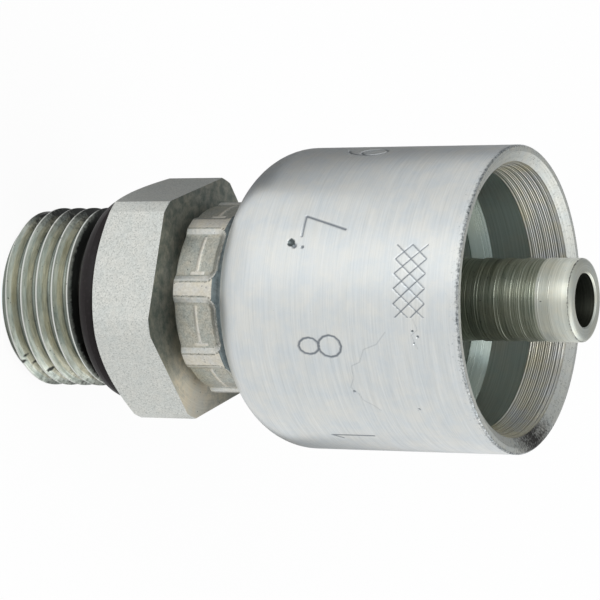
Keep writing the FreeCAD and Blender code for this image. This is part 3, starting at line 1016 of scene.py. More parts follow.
@dataclass
class CrimpShell:
    """The shell: a domed cup on a collar that eight jaws have pressed onto the neck.

    Attributes:
        low: Height of the collar's end.
        mouth: Height of the shell's mouth.
        radius: Outer radius of the shell.
    """

    low: float
    mouth: float
    radius: float
    steps: int = 360
    hub_radius: float = 5.52
    bead_radius: float = 5.07
    bead_low: float = 17.22
    bead_high: float = 19.18
    collar_radius: float = 7.5
    collar_edge: float = 0.15
    collar_end: float = 20.79
    collar_row: float = 0.1
    back: float = 20.87
    dome_radius: float = 4.53
    rim_edge: float = 0.1
    # Rows of faces below and inside the rim's edge, in widths of the edge.
    rim_rows: Point = (2.5, 1.7)
    rim_width: float = 0.49
    mouth_chamfer: float = 0.5
    land_top_radius: float = 10.4
    land_low: float = 39.0
    # Each turning ring of the mouth's chamfer: its place, in parts of the whole, and its depth.
    chamfer_rings: tuple[Point, ...] = (
        (0.12, 0.012), (0.24, 0.0), (0.4, 0.016), (0.5, 0.0), (0.64, 0.012), (0.78, 0.0))
    # Each turning ring of the land: its width, in parts of the whole, and its depth.
    land_rings: tuple[Point, ...] = (
        (3, 0.014), (2, 0.024), (2, 0.012), (3, 0.028), (2, 0.018), (2, 0.03), (3, 0.02), (2, 0.03),
        (2, 0.016), (3, 0.03), (2, 0.022), (2, 0.03), (3, 0.02), (2, 0.026), (2, 0.014), (3, 0.02))
    socket_radius: float = 9.8
    groove_radius: float = 10.5
    rib_pitch: float = 5.1
    rib_flank: float = 1.45
    rib_crest: float = 0.1
    groove_count: int = 2
    floor: float = 22.71
    pad_count: int = 8
    pad_turn: float = 33.5
    ridge_angle: float = 8.4
    pad_length: float = 3.9
    pad_depth: float = 0.3
    pad_corner: float = 1.1
    pad_wall: float = 0.75
    line_rise: float = 0.05
    line_width: float = 0.36
    line_half_length: float = 1.6
    crossbar_half_length: float = 0.5
    # What is struck into the wall: a plain number for each jaw, and a cross-hatched band.
    marked_span: Point = (27.6, 39.9)
    row: float = 0.3
    numeral_span: Point = (28.8, 33.0)
    numeral_low: float = 29.1
    numeral_size: Point = (2.0, 3.5)
    numeral_first: int = 1
    hatch_field: Point = (37.05, 39.55)
    hatch_azimuths: Point = (266.0, 292.5)
    hatch_period: float = 1.1
    hatch_columns: int = 2
    stroke_width: float = 0.24
    stroke_depth: float = 0.05
    # Dents from use: height, azimuth and radius of each.
    dents: tuple[Dent, ...] = (
        (28.3, 265.2, 0.34), (28.6, 266.4, 0.26), (29.3, 266.9, 0.14), (37.7, 330.0, 0.12),
        (38.5, 297.5, 0.1), (38.9, 299.5, 0.12), (38.6, 302.0, 0.1), (32.9, 322.0, 0.14))
    dent_depth: float = 0.12
    # Fine scratches: the azimuth and height of each corner.
    scratches: tuple[tuple[Point, ...], ...] = (
        ((298.0, 36.3), (302.5, 35.5), (304.5, 34.4), (309.5, 33.9), (311.0, 33.2), (316.5, 33.1),
         (320.0, 32.7), (323.0, 33.2), (326.0, 33.4), (328.5, 34.1), (331.0, 34.5)),
        ((293.0, 38.6), (297.0, 38.9), (299.0, 38.4), (304.0, 38.8)))
    scratch_width: float = 0.12
    scratch_depth: float = 0.015
    scratch_level: float = 0.22
    hatch_width: float = 0.13
    hatch_depth: float = 0.03
    # How many cuts divide the faces that marks are struck into, and how flat their bottom is.
    cuts: int = 3
    mark_flatness: float = 1.6
    wall_margin: float = 0.05
    # What lies this far outside the hub is on the shell's outside.
    outside_margin: float = 0.2
    # Painted shade along a pad's outline, in the crease at the ridges: its level, its half width and how
    # far it ends before the pad.
    pad_dirt: tuple[float, float, float] = (0.6, 0.12, 0.3)
    # Painted shade on the band beyond the pads: its level, its height above them and its half width.
    band_dirt: tuple[float, float, float] = (0.6, 0.1, 0.9)
    # Painted shade at the collar's end, where it meets the dome: its level and its half width.
    end_dirt: Point = (0.7, 0.15)
    # Dirt in the largest dent: its level at the middle and how far it reaches beyond the dent.
    dent_dirt: Point = (1.7, 0.1)
    # Painted shade at the dome's root: its level and how far up it reaches.
    root_dirt: Point = (0.5, 1.8)
    rim_dirt: float = 0.5
    # Dirt on the mouth's chamfer: its level, how much more a smudge has, the smudge's azimuth and
    # its half width.
    smudge: tuple[float, float, float, float] = (0.3, 0.4, 30.0, 22.0)
    # How far the band's finish laps over the pads' ends, and where a pad's wall gets a painted highlight.
    band_lap: float = 0.4
    wall_span: Point = (0.1, 0.5)

    @classmethod
    def from_frame(cls) -> "CrimpShell":
        """Takes the shell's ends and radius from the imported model."""
        low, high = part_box("crimp_shell")
        return cls(low=low.z / MM, mouth=high.z / MM, radius=high.x / MM)

    def build(self) -> bpy.types.Object:
        """Models the shell as one closed mesh, and dresses it.

        Returns:
            The finished piece.
        """
        shell = turn_on_lathe("plated_shell", self.outline(), self.steps)
        self.press_pads(shell)
        self.strike_marks(shell)
        self.dress(shell)
        return shell

    def outline(self) -> list[Point]:
        """Up the outside from the collar's end, over the rim, down the socket and out of the hub.

        Returns:
            The corners of the turned outline, closed.
        """
        rows = round((self.collar_end - self.low - self.collar_edge) / self.collar_row)
        height = self.collar_end - self.low - self.collar_edge
        corners = [(self.hub_radius, self.low), (self.collar_radius - self.collar_edge, self.low)]
        corners += [(self.collar_radius, self.low + self.collar_edge + height * k / rows)
                    for k in range(rows + 1)]
        dome_centre = (self.radius - self.dome_radius, self.back + self.dome_radius)
        root = self.back - self.collar_end
        corners += arc((self.collar_radius + root, self.collar_end), (root, root), 180, 90, 5)[1:]
        sine = (self.collar_radius + root - dome_centre[0]) / self.dome_radius
        first = math.degrees(math.asin(sine)) - 90
        corners += arc(dome_centre, (self.dome_radius, self.dome_radius), first, 0, 16)
        low, high = self.marked_span
        rows = round((high - low) / self.row)
        corners += [(self.radius, low + (high - low) * k / rows) for k in range(rows + 1)]
        below, inside = self.rim_rows
        corners += [(self.radius, self.mouth - below * self.rim_edge),
                    (self.radius, self.mouth - self.rim_edge),
                    (self.radius - self.rim_edge, self.mouth),
                    (self.radius - inside * self.rim_edge, self.mouth),
                    (self.radius - self.rim_width, self.mouth)]
        corners += self.land()
        groove_top = self.land_low - self.rib_crest
        for k in range(self.groove_count):
            top = groove_top - k * self.rib_pitch
            low = top - self.rib_pitch + self.rib_crest
            corners += [(self.socket_radius, top), (self.groove_radius, top),
                        (self.groove_radius, low + self.rib_flank), (self.socket_radius, low)]
        corners += [(self.socket_radius, dome_centre[1]), (dome_centre[0], self.floor),
                    (self.hub_radius, self.floor), (self.hub_radius, self.bead_high),
                    (self.bead_radius, self.bead_high), (self.bead_radius, self.bead_low),
                    (self.hub_radius, self.bead_low), (self.hub_radius, self.low)]
        return corners

    def land(self) -> list[Point]:
        """The mouth's chamfer and the tapered land inside it, with their coarse turning rings.

        Returns:
            Their corners, inwards.
        """
        top = self.mouth - self.mouth_chamfer
        edge = self.radius - self.rim_width
        corners = []
        for share, dip in self.chamfer_rings:
            corners.append((edge + (self.land_top_radius - edge) * share + dip,
                            self.mouth - self.mouth_chamfer * share))
        corners.append((self.land_top_radius, top))
        whole = sum(width for width, _ in self.land_rings)
        done = 0.0
        for width, depth in self.land_rings:
            for part, dip in (((done + width * 0.7) / whole, depth), ((done + width) / whole, 0.0)):
                radius = self.land_top_radius + (self.socket_radius - self.land_top_radius) * part
                corners.append((radius + dip, top + (self.land_low - top) * part))
            done += width
        return corners

    def pad_place(self, azimuth: float) -> float:
        """Where a place on the collar lies on its pad.

        Args:
            azimuth: Direction of the place.

        Returns:
            Distance round the collar from the middle of the nearest pad, in millimetres.
        """
        period = 360 / self.pad_count
        away = (azimuth - self.pad_turn + period / 2) % period - period / 2
        return math.radians(away) * self.collar_radius

    def inside_pad(self, azimuth: float, height: float) -> float:
        """How far a place on the collar lies inside a pad's outline.

        Args:
            azimuth: Direction of the place.
            height: Its height.

        Returns:
            The distance in millimetres, negative outside the outline.
        """
        half_width = math.radians(360 / self.pad_count - self.ridge_angle) / 2 * self.collar_radius
        across = abs(self.pad_place(azimuth)) - (half_width - self.pad_corner)
        along = height - self.low - (self.pad_length - self.pad_corner)
        outside = math.hypot(max(across, 0.0), max(along, 0.0))
        return self.pad_corner - outside - min(max(across, along), 0.0)

    def line_height(self, azimuth: float, height: float) -> float:
        """Rise of the fine line round the middle of a pad, and of the crossbar at its one end.

        Args:
            azimuth: Direction of the place.
            height: Its height.

        Returns:
            The rise in millimetres.
        """
        across = self.pad_place(azimuth)
        along = height - self.low - self.pad_length / 2
        stem = max(abs(along), (abs(across) - self.line_half_length) * 2)
        bar = max(abs(across - self.line_half_length), (abs(along) - self.crossbar_half_length) * 2)
        share = max(0.0, 1 - 2 * min(stem, bar) / self.line_width)
        return self.line_rise * share * (2 - share)

    def press_pads(self, shell: bpy.types.Object) -> None:
        """Presses the collar in under each jaw, with a soft wall up to the ridges.

        Args:
            shell: The turned mesh.
        """
        for vertex in shell.data.vertices:
            radius, height = radius_of(vertex.co), vertex.co.z / MM
            innermost = self.collar_radius - self.collar_edge - WELD_MM
            if radius < innermost or height > self.collar_end + WELD_MM:
                continue
            azimuth = azimuth_of(vertex.co)
            share = min(max(self.inside_pad(azimuth, height) / self.pad_wall, 0.0), 1.0)
            drop = (self.pad_depth * share * share * (3 - 2 * share)
                    - self.line_height(azimuth, height) * (share == 1.0))
            scale = (radius - drop) / radius
            vertex.co.x *= scale
            vertex.co.y *= scale

    def round_way(self, azimuth: float, middle: float) -> float:
        """Distance round the wall from a middle line to a place, in millimetres."""
        return math.radians((azimuth - middle + 180) % 360 - 180) * self.radius

    def in_hatch(self, azimuth: float, height: float, margin: float = 0.0) -> bool:
        """Whether a place lies in the cross-hatched band, or within a margin of it.

        Args:
            azimuth: Direction of the place.
            height: Its height.
            margin: The margin.

        Returns:
            True for a place in it.
        """
        start, end = self.hatch_azimuths
        half = math.radians(end - start) / 2 * self.radius
        away = abs(self.round_way(azimuth, (start + end) / 2)) - half
        low, high = self.hatch_field
        return away < margin and low - margin < height < high + margin

    def dent(self, azimuth: float, height: float, margin: float = 0.0) -> float:
        """How deep the deepest dent is at a place, from 0 to 1, with each dent wider by a margin."""
        return max(1 - math.hypot(self.round_way(azimuth, middle), height - level) / (radius + margin)
                   for level, middle, radius in self.dents)

    def scratch(self, azimuth: float, height: float) -> float:
        """How near a place is to a fine scratch.

        Args:
            azimuth: Direction of the place.
            height: Its height.

        Returns:
            1 on the scratch and 0 beside it.
        """
        away = min(distance(Vector((0.0, height)), *(Vector((self.round_way(way, azimuth), level))
                                                      for way, level in ends))
                   for line in self.scratches for ends in zip(line, line[1:]))
        return max(0.0, 1 - 2 * away / self.scratch_width)

    def near_scratch(self, azimuth: float, height: float) -> bool:
        """Whether a place lies within a row of a scratch's run.

        Args:
            azimuth: Direction of the place.
            height: Its height.

        Returns:
            True for a place that may be on the scratch.
        """
        return any(min(way for way, _ in ends) - 2 < azimuth % 360 < max(way for way, _ in ends) + 2
                   and min(level for _, level in ends) - self.row < height
                   < max(level for _, level in ends) + self.row
                   for line in self.scratches for ends in zip(line, line[1:]))

    def hatch_mark(self, azimuth: float, height: float) -> float:
        """How deep the cross-hatching is struck at a place in its band.

        Args:
            azimuth: Direction of the place.
            height: Its height.

        Returns:
            The depth, from 0 to 1.
        """
        low, high = self.hatch_field
        column = (high - low) / self.hatch_columns
        steepness = self.hatch_period / column
        along = math.radians(azimuth % 360 - self.hatch_azimuths[0]) * self.radius
        mark = 0.0
        for lean in (steepness, -steepness):
            turns = (along + lean * (height - low)) / self.hatch_period
            away = abs((turns + 0.5) % 1 - 0.5) * self.hatch_period / math.hypot(1, steepness)
            mark = max(mark, 1 - 2 * away / self.hatch_width)
        return mark

    def strokes(self) -> Strokes:
        """Lays out the numerals, one in line with each pad.

        Returns:
            For each numeral, its azimuth and its strokes, as pairs of ends round and up the wall.
        """
        placed = []
        width, length = self.numeral_size
        for k in range(self.pad_count):
            middle = (self.pad_turn + k * 360 / self.pad_count) % 360
            number = (k + self.numeral_first) % self.pad_count + 1
            pieces = []
            for chain in NUMERALS[number]:
                ends = [Vector(((0.5 - x) * width, self.numeral_low + (1 - y) * length))
                        for x, y in chain]
                pieces += zip(ends, ends[1:])
            placed.append((middle, pieces))
        return placed

    def near_mark(self, place: Vector, numerals: Strokes) -> bool:
        """Whether something may be struck into the wall at a place.

        Args:
            place: The middle of a face, in metres.
            numerals: The numerals' strokes.

        Returns:
            True for a face that has to be divided finely.
        """
        height, azimuth = place.z / MM, azimuth_of(place)
        low, high = self.marked_span
        if radius_of(place) < self.radius - self.wall_margin or not low < height < high:
            return False
        reach = self.numeral_size[0] / 2 + self.stroke_width
        by_numeral = self.numeral_span[0] < height < self.numeral_span[1] and any(
            abs(self.round_way(azimuth, middle)) < reach for middle, _ in numerals)
        return (by_numeral or self.in_hatch(azimuth, height, self.row)
                or self.dent(azimuth, height, self.row) > 0 or self.near_scratch(azimuth, height))

    def mark(self, azimuth: float, height: float, numerals: Strokes) -> tuple[float, float]:
        """What is struck into the wall at a place.

        Args:
            azimuth: Direction of the place.
            height: Its height.
            numerals: The numerals' strokes.

        Returns:
            How deep the mark is there, from 0 to 1, and its full depth in millimetres.
        """
        reach = self.numeral_size[0] / 2 + self.stroke_width
        share, depth = 0.0, self.stroke_depth
        dent = self.dent(azimuth, height)
        if dent > 0:
            share, depth = dent, self.dent_depth
        elif self.in_hatch(azimuth, height):
            share, depth = self.hatch_mark(azimuth, height), self.hatch_depth
        elif self.numeral_span[0] < height < self.numeral_span[1]:
            for middle, pieces in numerals:
                across = self.round_way(azimuth, middle)
                if abs(across) < reach:
                    away = min(distance(Vector((across, height)), *ends) for ends in pieces)
                    share = 1 - 2 * away / self.stroke_width
        scratch = self.scratch(azimuth, height) if self.near_scratch(azimuth, height) else 0.0
        if scratch > share:
            share, depth = scratch * self.scratch_level, self.scratch_depth
        return min(max(share, 0.0) * self.mark_flatness, 1.0), depth

    def strike_marks(self, shell: bpy.types.Object) -> None:
        """Strikes the numerals, the cross-hatching, dents and scratches into finely divided patches.

        Args:
            shell: The mesh with its pads.
        """
        numerals = self.strokes()
        pick(shell)
        bpy.ops.object.mode_set(mode="EDIT")
        bpy.ops.mesh.select_mode(type="FACE")
        bpy.ops.mesh.select_all(action="DESELECT")
        bpy.ops.object.mode_set(mode="OBJECT")
        for face in shell.data.polygons:
            face.select = self.near_mark(face.center, numerals)
        bpy.ops.object.mode_set(mode="EDIT")
        bpy.ops.mesh.subdivide(number_cuts=self.cuts)
        bpy.ops.mesh.select_mode(type="VERT")
        bpy.ops.object.mode_set(mode="OBJECT")
        struck = shell.data.attributes.new(STRUCK, "FLOAT", "POINT")
        for vertex in shell.data.vertices:
            if radius_of(vertex.co) < self.radius - self.wall_margin:
                continue
            share, depth = self.mark(azimuth_of(vertex.co), vertex.co.z / MM, numerals)
            struck.data[vertex.index].value = share
            scale = 1 - depth * share / self.radius
            vertex.co.x *= scale
            vertex.co.y *= scale

    def dirt(self, radius: float, height: float, azimuth: float) -> float:
        """Painted shade round the pads, on the band, at the collar's end and at the dome's root, and dirt
        round the rim, on the mouth's chamfer and in the largest dent.

        Args:
            radius: Radius of the place.
            height: Its height.
            azimuth: Its direction round the axis.

        Returns:
            The level of dirt and painted shade, none at 0 and full at 1.
        """
        if height < self.back + 0.1 and radius > self.hub_radius + self.outside_margin:
            # Painted shade round the pads, on the band beyond them and at the collar's end.
            pad_end = self.low + self.pad_length
            level, width, margin = self.pad_dirt
            round_pad = (level * near_line(self.inside_pad(azimuth, height), 0.0, width)
                         * (height < pad_end - margin))
            level, above, width = self.band_dirt
            on_band = level * near_line(height, pad_end + above, width)
            level, width = self.end_dirt
            return max(round_pad, on_band, level * near_line(height, self.collar_end, width))
        if radius > self.radius - 0.3 and height < self.mouth - 1:
            level, way, size = self.dents[0]
            strength, beyond = self.dent_dirt
            away = math.hypot(height - level, self.round_way(azimuth, way)) / (size + beyond)
            return strength * max(0.0, 1 - away)
        # Painted shade at the dome's root, fading upwards.
        level, reach = self.root_dirt
        if height < self.back + reach and radius > self.collar_radius:
            return level * (1 - (height - self.back) / reach)
        on_edge = radius > self.radius - self.rim_edge - 0.01
        on_rim = self.rim_dirt * (height > self.mouth - self.rim_edge - 0.01 and on_edge)
        level, more, middle, width = self.smudge
        smudge = max(0.0, 1 - angle_between(azimuth, middle) / width)
        in_mouth = height > self.mouth - self.mouth_chamfer - 0.01
        return max(on_rim, (level + more * smudge) * in_mouth)

    def dress(self, shell: bpy.types.Object) -> None:
        """Coats the outside, the collar and the socket, and puts the shell in its place.

        Args:
            shell: The mesh with all its marks.
        """
        pad_end = self.low + self.pad_length
        groove_top = self.land_low - self.rib_crest
        outside = self.hub_radius + self.outside_margin
        on_collar = Zone(inner=outside, high=self.collar_end)

        def is_inside(spot: Spot) -> bool:
            """Whether a face is part of the socket's wall.

            Args:
                spot: The face's middle.

            Returns:
                True for a face that looks inwards or along the axis.
            """
            way = math.radians(spot.azimuth)
            outward = spot.normal.x * math.cos(way) + spot.normal.y * math.sin(way)
            return (spot.height > self.floor - 0.1 and outward < 0.1
                    and spot.radius < self.radius - self.rim_width - 0.05)

        def on_chamfer(spot: Spot) -> bool:
            """Whether a face is part of the rim or of the chamfer inside it."""
            on_rim = spot.height > self.mouth - self.rim_edge / 2 and spot.radius > self.land_top_radius
            return on_rim or (spot.height > self.mouth - self.mouth_chamfer and is_inside(spot))

        def on_land(spot: Spot) -> bool:
            """Whether a face is part of the land."""
            return spot.height > groove_top and is_inside(spot)

        def on_flank(spot: Spot) -> bool:
            """Whether a face is part of a groove's flank.

            Args:
                spot: The face's middle.

            Returns:
                True for a face on a flank.
            """
            into = (groove_top - spot.height) % self.rib_pitch
            return (into > self.rib_pitch - self.rib_crest - self.rib_flank and is_inside(spot)
                    and groove_top - self.groove_count * self.rib_pitch < spot.height)

        def on_band(spot: Spot) -> bool:
            """Whether a face is part of the band between the pads' ends and the dome."""
            low = pad_end - self.band_lap * (self.inside_pad(spot.azimuth, spot.height) < 0.05)
            return spot.radius > outside and low < spot.height < self.back + 0.1

        def on_ridge(spot: Spot) -> bool:
            """Whether a face is part of a ridge between pads, or of the line on a pad."""
            on_line = self.line_height(spot.azimuth, spot.height) > 0.3 * self.line_rise
            return on_collar(spot) and (on_line or self.inside_pad(spot.azimuth, spot.height) < 0)

        def on_wall(spot: Spot) -> bool:
            """Whether a face is part of a pad's wall."""
            start, end = self.wall_span
            return on_collar(spot) and start < self.inside_pad(spot.azimuth, spot.height) < end

        # The band gets a darker copy of the plate, painted shade, and the collar's edge and the pads'
        # walls a lighter one, painted highlight.
        coat(shell, (
            (TURNED_RIM.make(), on_chamfer),
            (TURNED_LAND.make(), on_land),
            (TURNED_FLANK.make(), on_flank),
            (TURNED_SOCKET.make(), is_inside),
            (BURNISHED_WALL.make(), Zone(inner=outside, high=self.low + self.collar_edge)),
            (PRESSED_BAND.make(), on_band),
            (PRESSED_RIDGE.make(), on_ridge),
            (BURNISHED_WALL.make(), on_wall),
            (PRESSED_PAD.make(), on_collar),
            (SATIN_SHELL.make(), Zone())))
        soil(shell, self.dirt)
        finish_piece(shell, "crimp_shell")


@dataclass
class ORing:
    """The seal in the undercut.

    Attributes:
        low: Height of its lower side.
        high: Height of its upper side.
        outer_radius: Its outer radius.
    """

    low: float
    high: float
    outer_radius: float
    steps: int = 144
    section_steps: int = 32
    flash_rise: float = 0.02

    @classmethod
    def from_frame(cls) -> "ORing":
        """Takes the ring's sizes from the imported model."""
        low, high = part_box("o_ring")
        return cls(low=low.z / MM, high=high.z / MM, outer_radius=high.x / MM)

    def build(self) -> bpy.types.Object:
        """Models the moulded ring with the fine flash line of its mould.

        Returns:
            The finished piece.
        """
        section = (self.high - self.low) / 2
        bpy.ops.object.select_all(action="DESELECT")
        bpy.ops.mesh.primitive_torus_add(
            major_radius=(self.outer_radius - section) * MM, minor_radius=section * MM,
            major_segments=self.steps, minor_segments=self.section_steps,
            location=(0.0, 0.0, (self.low + section) * MM))
        ring = bpy.context.active_object
        ring.name = ring.data.name = "rubber_ring"
        bpy.ops.object.transform_apply(location=True, rotation=False, scale=False)
        bpy.ops.object.mode_set(mode="EDIT")
        bpy.ops.mesh.select_all(action="DESELECT")
        bpy.ops.object.mode_set(mode="OBJECT")
        for vertex in ring.data.vertices:
            vertex.select = radius_of(vertex.co) > self.outer_radius - WELD_MM
        bpy.ops.object.mode_set(mode="EDIT")
        share = 1 + self.flash_rise / self.outer_radius
        bpy.ops.transform.resize(value=(share, share, 1.0), center_override=(0.0, 0.0, 0.0))
        bpy.ops.object.mode_set(mode="OBJECT")
        ring.data.materials.append(NitrileRubber().make())
        finish_piece(ring, "o_ring")
        return ring


@dataclass
class Studio:
    """Camera, floor and light.

    The camera is the photo's own, rolled onto its side because the fitting lies across the picture.
    """

    eye_mm: tuple[float, float, float] = (58.956, -207.85, 135.49)
    forward: tuple[float, float, float] = (-0.241645, 0.854183, -0.46041)
    right: tuple[float, float, float] = (-0.132763, 0.440905, 0.88768)
    lens_mm: float = 187.713
    sensor_mm: float = 36.0
    clip: Point = (0.01, 20.0)
    floor_size: float = 6.0
    floor_colour: str = "#F4F4F3"
    floor_glow: float = 0.93
    flag_size: Point = (0.115, 0.12)
    flag_azimuth: float = 128.0
    flag_start: float = 0.011
    flag_grey: float = 0.17
    flag_lift: float = 0.0003
    # The middle of the fitting, which the lamps face.
    aim: tuple[float, float, float] = (0.0, 0.0, 0.024)
    world_pale: Colour = (0.75, 0.76, 0.77, 1.0)
    world_dark: Colour = (0.36, 0.37, 0.38, 1.0)
    dark_azimuth: float = 125.0

    def build(self) -> None:
        """Sets up the camera, the floor, the lamps and the world."""
        self.add_camera()
        self.add_floor()
        self.add_flag()
        self.add_lamps()
        self.add_world()
        bpy.context.scene.view_settings.view_transform = "Standard"

    def add_camera(self) -> None:
        """The camera, at the place that was fitted to the photo."""
        bpy.ops.object.camera_add()
        camera = bpy.context.active_object
        forward, right = Vector(self.forward).normalized(), Vector(self.right)
        up = right.cross(forward).normalized()
        right = forward.cross(up)
        turn = Matrix((right, up, -forward)).transposed().to_4x4()
        camera.matrix_world = Matrix.Translation(Vector(self.eye_mm) * MM) @ turn
        camera.data.lens = self.lens_mm
        camera.data.sensor_width = self.sensor_mm
        camera.data.clip_start, camera.data.clip_end = self.clip
        bpy.context.scene.camera = camera

    def add_floor(self) -> None:
        """A plain pale floor. It looks white, to metal too, and keeps the object's soft shadow."""
        bpy.ops.object.select_all(action="DESELECT")
        bpy.ops.mesh.primitive_plane_add(size=self.floor_size)
        floor = bpy.context.active_object
        floor.name = "studio_floor"
        material = new_material("matt_white_floor")
        tree = material.node_tree
        rays = add_node(tree, "ShaderNodeLightPath")
        seen = calculate(tree, "MAXIMUM", rays.outputs["Is Camera Ray"], rays.outputs["Is Glossy Ray"])
        seen = calculate(tree, "MAXIMUM", seen, rays.outputs["Is Transmission Ray"])
        share = calculate(tree, "MULTIPLY", seen, self.floor_glow)
        matt = add_node(tree, "ShaderNodeBsdfDiffuse", inputs={"Color": linear(self.floor_colour)})
        glow = add_node(tree, "ShaderNodeEmission", inputs={
            "Color": (1.0, 1.0, 1.0, 1.0), "Strength": 1.0})
        mixed = add_node(tree, "ShaderNodeMixShader", inputs={
            0: share, 1: matt.outputs["BSDF"], 2: glow.outputs["Emission"]})
        add_node(tree, "ShaderNodeOutputMaterial", inputs={"Surface": mixed.outputs["Shader"]})
        floor.data.materials.append(material)

    def add_flag(self) -> None:
        """A dark cloth on the floor behind the fitting. Only the metal's reflections show it."""
        bpy.ops.object.select_all(action="DESELECT")
        bpy.ops.mesh.primitive_plane_add(size=1.0)
        flag = bpy.context.active_object
        flag.name = "dark_flag"
        way = math.radians(self.flag_azimuth)
        middle = self.flag_start + self.flag_size[0] / 2
        flag.scale = (*self.flag_size, 1.0)
        flag.rotation_euler.z = way
        flag.location = (middle * math.cos(way), middle * math.sin(way), self.flag_lift)
        material = bpy.data.materials.new("dark_cloth")
        material.use_nodes = True
        shader = material.node_tree.nodes["Principled BSDF"]
        shader.inputs["Base Color"].default_value = (self.flag_grey, self.flag_grey, self.flag_grey, 1.0)
        shader.inputs["Roughness"].default_value = 1.0
        flag.data.materials.append(material)
        for ray in ("camera", "diffuse", "transmission", "shadow"):
            setattr(flag, f"visible_{ray}", False)

    def add_lamp(self, name: str, azimuth: float, elevation: float, distance: float, size: float,
                 power: float) -> None:
        """A square soft lamp that faces the middle of the fitting.

        Args:
            name: The lamp's name.
            azimuth: Its direction round the axis, in degrees from +X.
            elevation: Its height above the horizon, in degrees.
            distance: Its distance in metres.
            size: Its side in metres.
            power: Its power in watts.
        """
        a, e = math.radians(azimuth), math.radians(elevation)
        way = Vector((math.cos(a) * math.cos(e), math.sin(a) * math.cos(e), math.sin(e)))
        bpy.ops.object.light_add(type="AREA", location=Vector(self.aim) + way * distance)
        lamp = bpy.context.active_object
        lamp.name = lamp.data.name = name
        lamp.rotation_euler = way.to_track_quat("Z", "Y").to_euler()
        lamp.data.size = size
        lamp.data.energy = power

    def add_lamps(self) -> None:
        """The key lamp stands by the camera, and the fill lamp on the side of the lower edge."""
        self.add_lamp("key_lamp", 258.0, 20.0, 0.6, 0.45, 1.6)
        self.add_lamp("fill_lamp", 52.0, 50.0, 0.6, 0.6, 1.2)

    def add_world(self) -> None:
        """Even pale light, darker behind the fitting, on the side of the picture's upper edge."""
        world = bpy.data.worlds.new("studio_world")
        bpy.context.scene.world = world
        world.use_nodes = True
        tree = world.node_tree
        tree.nodes.clear()
        way = add_node(tree, "ShaderNodeTexCoord").outputs["Generated"]
        azimuth = math.radians(self.dark_azimuth)
        facing = calculate_vector(tree, "DOT_PRODUCT", way, (math.cos(azimuth), math.sin(azimuth), 0.0))
        colour = mix_colours(tree, remap(tree, facing, 0.2, 0.8), self.world_pale, self.world_dark)
        background = add_node(tree, "ShaderNodeBackground", inputs={"Color": colour, "Strength": 1.0})
        add_node(tree, "ShaderNodeOutputWorld", inputs={"Surface": background.outputs["Background"]})


SATIN_SHELL = ZincPlate("zinc_satin_turned_shell", pale="#E4E7E7", deep="#C0C5C6", warm="#DDDBD3",
                        cool="#C6CED3", roughness=0.36, anisotropy=0.6, mark_mm=0.14, mark_length_mm=5.0,
                        mark_depth_um=3.0, contrast=0.7, cloud_mm=1.6, cloud_share=0.4, speck_level=0.8,
                        speck="#9A9F9F", dirt="#535A5B", dirt_mm=0.2)
THREAD_CREST = ZincPlate("zinc_thread_crest", pale="#E2E4E0", deep="#B9BCB7", warm="#D4D3CB",
                         cool="#C3C9C6", roughness=0.36, anisotropy=0.2, dirt="#4A4C48", dirt_mm=0.5,
                         dirt_softness=0.22)
TURNED_THREAD = ZincPlate("zinc_turned_thread", pale="#E3E8E0", deep="#8B928A", warm="#C1C1AE",
                          cool="#A8B7AF", roughness=0.42, anisotropy=0.4, grain=Grain.SCREWED,
                          mark_mm=0.18, mark_length_mm=2.5, contrast=1.4, cloud_mm=1.8, dirt="#3B3D3A",
                          dirt_mm=0.5, dirt_softness=0.22)
LOW_FLANK = replace(TURNED_THREAD, name="zinc_turned_thread_low_flank", pale="#E1DFD0", deep="#8A897B",
                    warm="#C4BF9E", cool="#A9B1A3")
# A darker copy of the thread's plate for its roots: painted shade in the grooves.
THREAD_ROOT = replace(TURNED_THREAD, name="zinc_turned_thread_root", pale="#999F99", deep="#5B625C",
                      warm="#797B70", cool="#6B7670", contrast=1.0)
# A darker copy of the plate for the undercut beside the ring: painted shade in the recess.
OILED_UNDERCUT = ZincPlate("oiled_zinc_undercut", pale="#7C7E79", deep="#4E504D", warm="#67635C",
                           cool="#535957", roughness=0.4, anisotropy=0.4)
# A darker copy of the plate for the bore: painted shade inside the hole.
DARK_BORE = ZincPlate("zinc_dark_bore", pale="#7A7E73", deep="#373B35", warm="#565446", cool="#3E453D",
                      roughness=0.45, anisotropy=0.3, contrast=1.0)
# The turned faces. Its dark colour is the painted shade laid over most of the hexagon's face.
TURNED_FACE = ZincPlate("zinc_turned_face", pale="#F0EADB", deep="#C2BAA8", warm="#DCD0B6",
                        cool="#C9CBC2", roughness=0.5, anisotropy=0.8, cloud_mm=1.6, cloud_share=0.5,
                        mark_mm=0.15, dirt="#6D756E", dirt_mm=0.8, dirt_softness=0.42)
# A darker copy of the turned plate: painted shade on the tail down inside the socket.
TURNED_TAIL = ZincPlate("zinc_turned_tail", pale="#BCC1B3", deep="#3A4135", warm="#8F9078",
                        cool="#5B6E60", roughness=0.38, anisotropy=0.4, mark_mm=0.13, mark_depth_um=4.0,
                        contrast=1.1, cloud_mm=2.5, cloud_share=0.3)
TURNED_TIP = ZincPlate("zinc_turned_tip", pale="#EAECE5", deep="#B4B8AF", warm="#D6D0B6",
                       cool="#BAC3BD", roughness=0.4, anisotropy=0.4, mark_mm=0.13, mark_depth_um=4.0,
                       contrast=1.0, cloud_mm=1.5, speck_level=0.75, dirt="#4C4B49", dirt_mm=0.2)
TURNED_RIM = ZincPlate("zinc_turned_rim", pale="#DADCD8", deep="#AEB2AF", warm="#D2CDBD",
                       cool="#B6BCBA", roughness=0.5, anisotropy=0.2, mark_mm=0.12, cloud_mm=1.5,
                       dirt="#3F3D3B", dirt_mm=0.2)
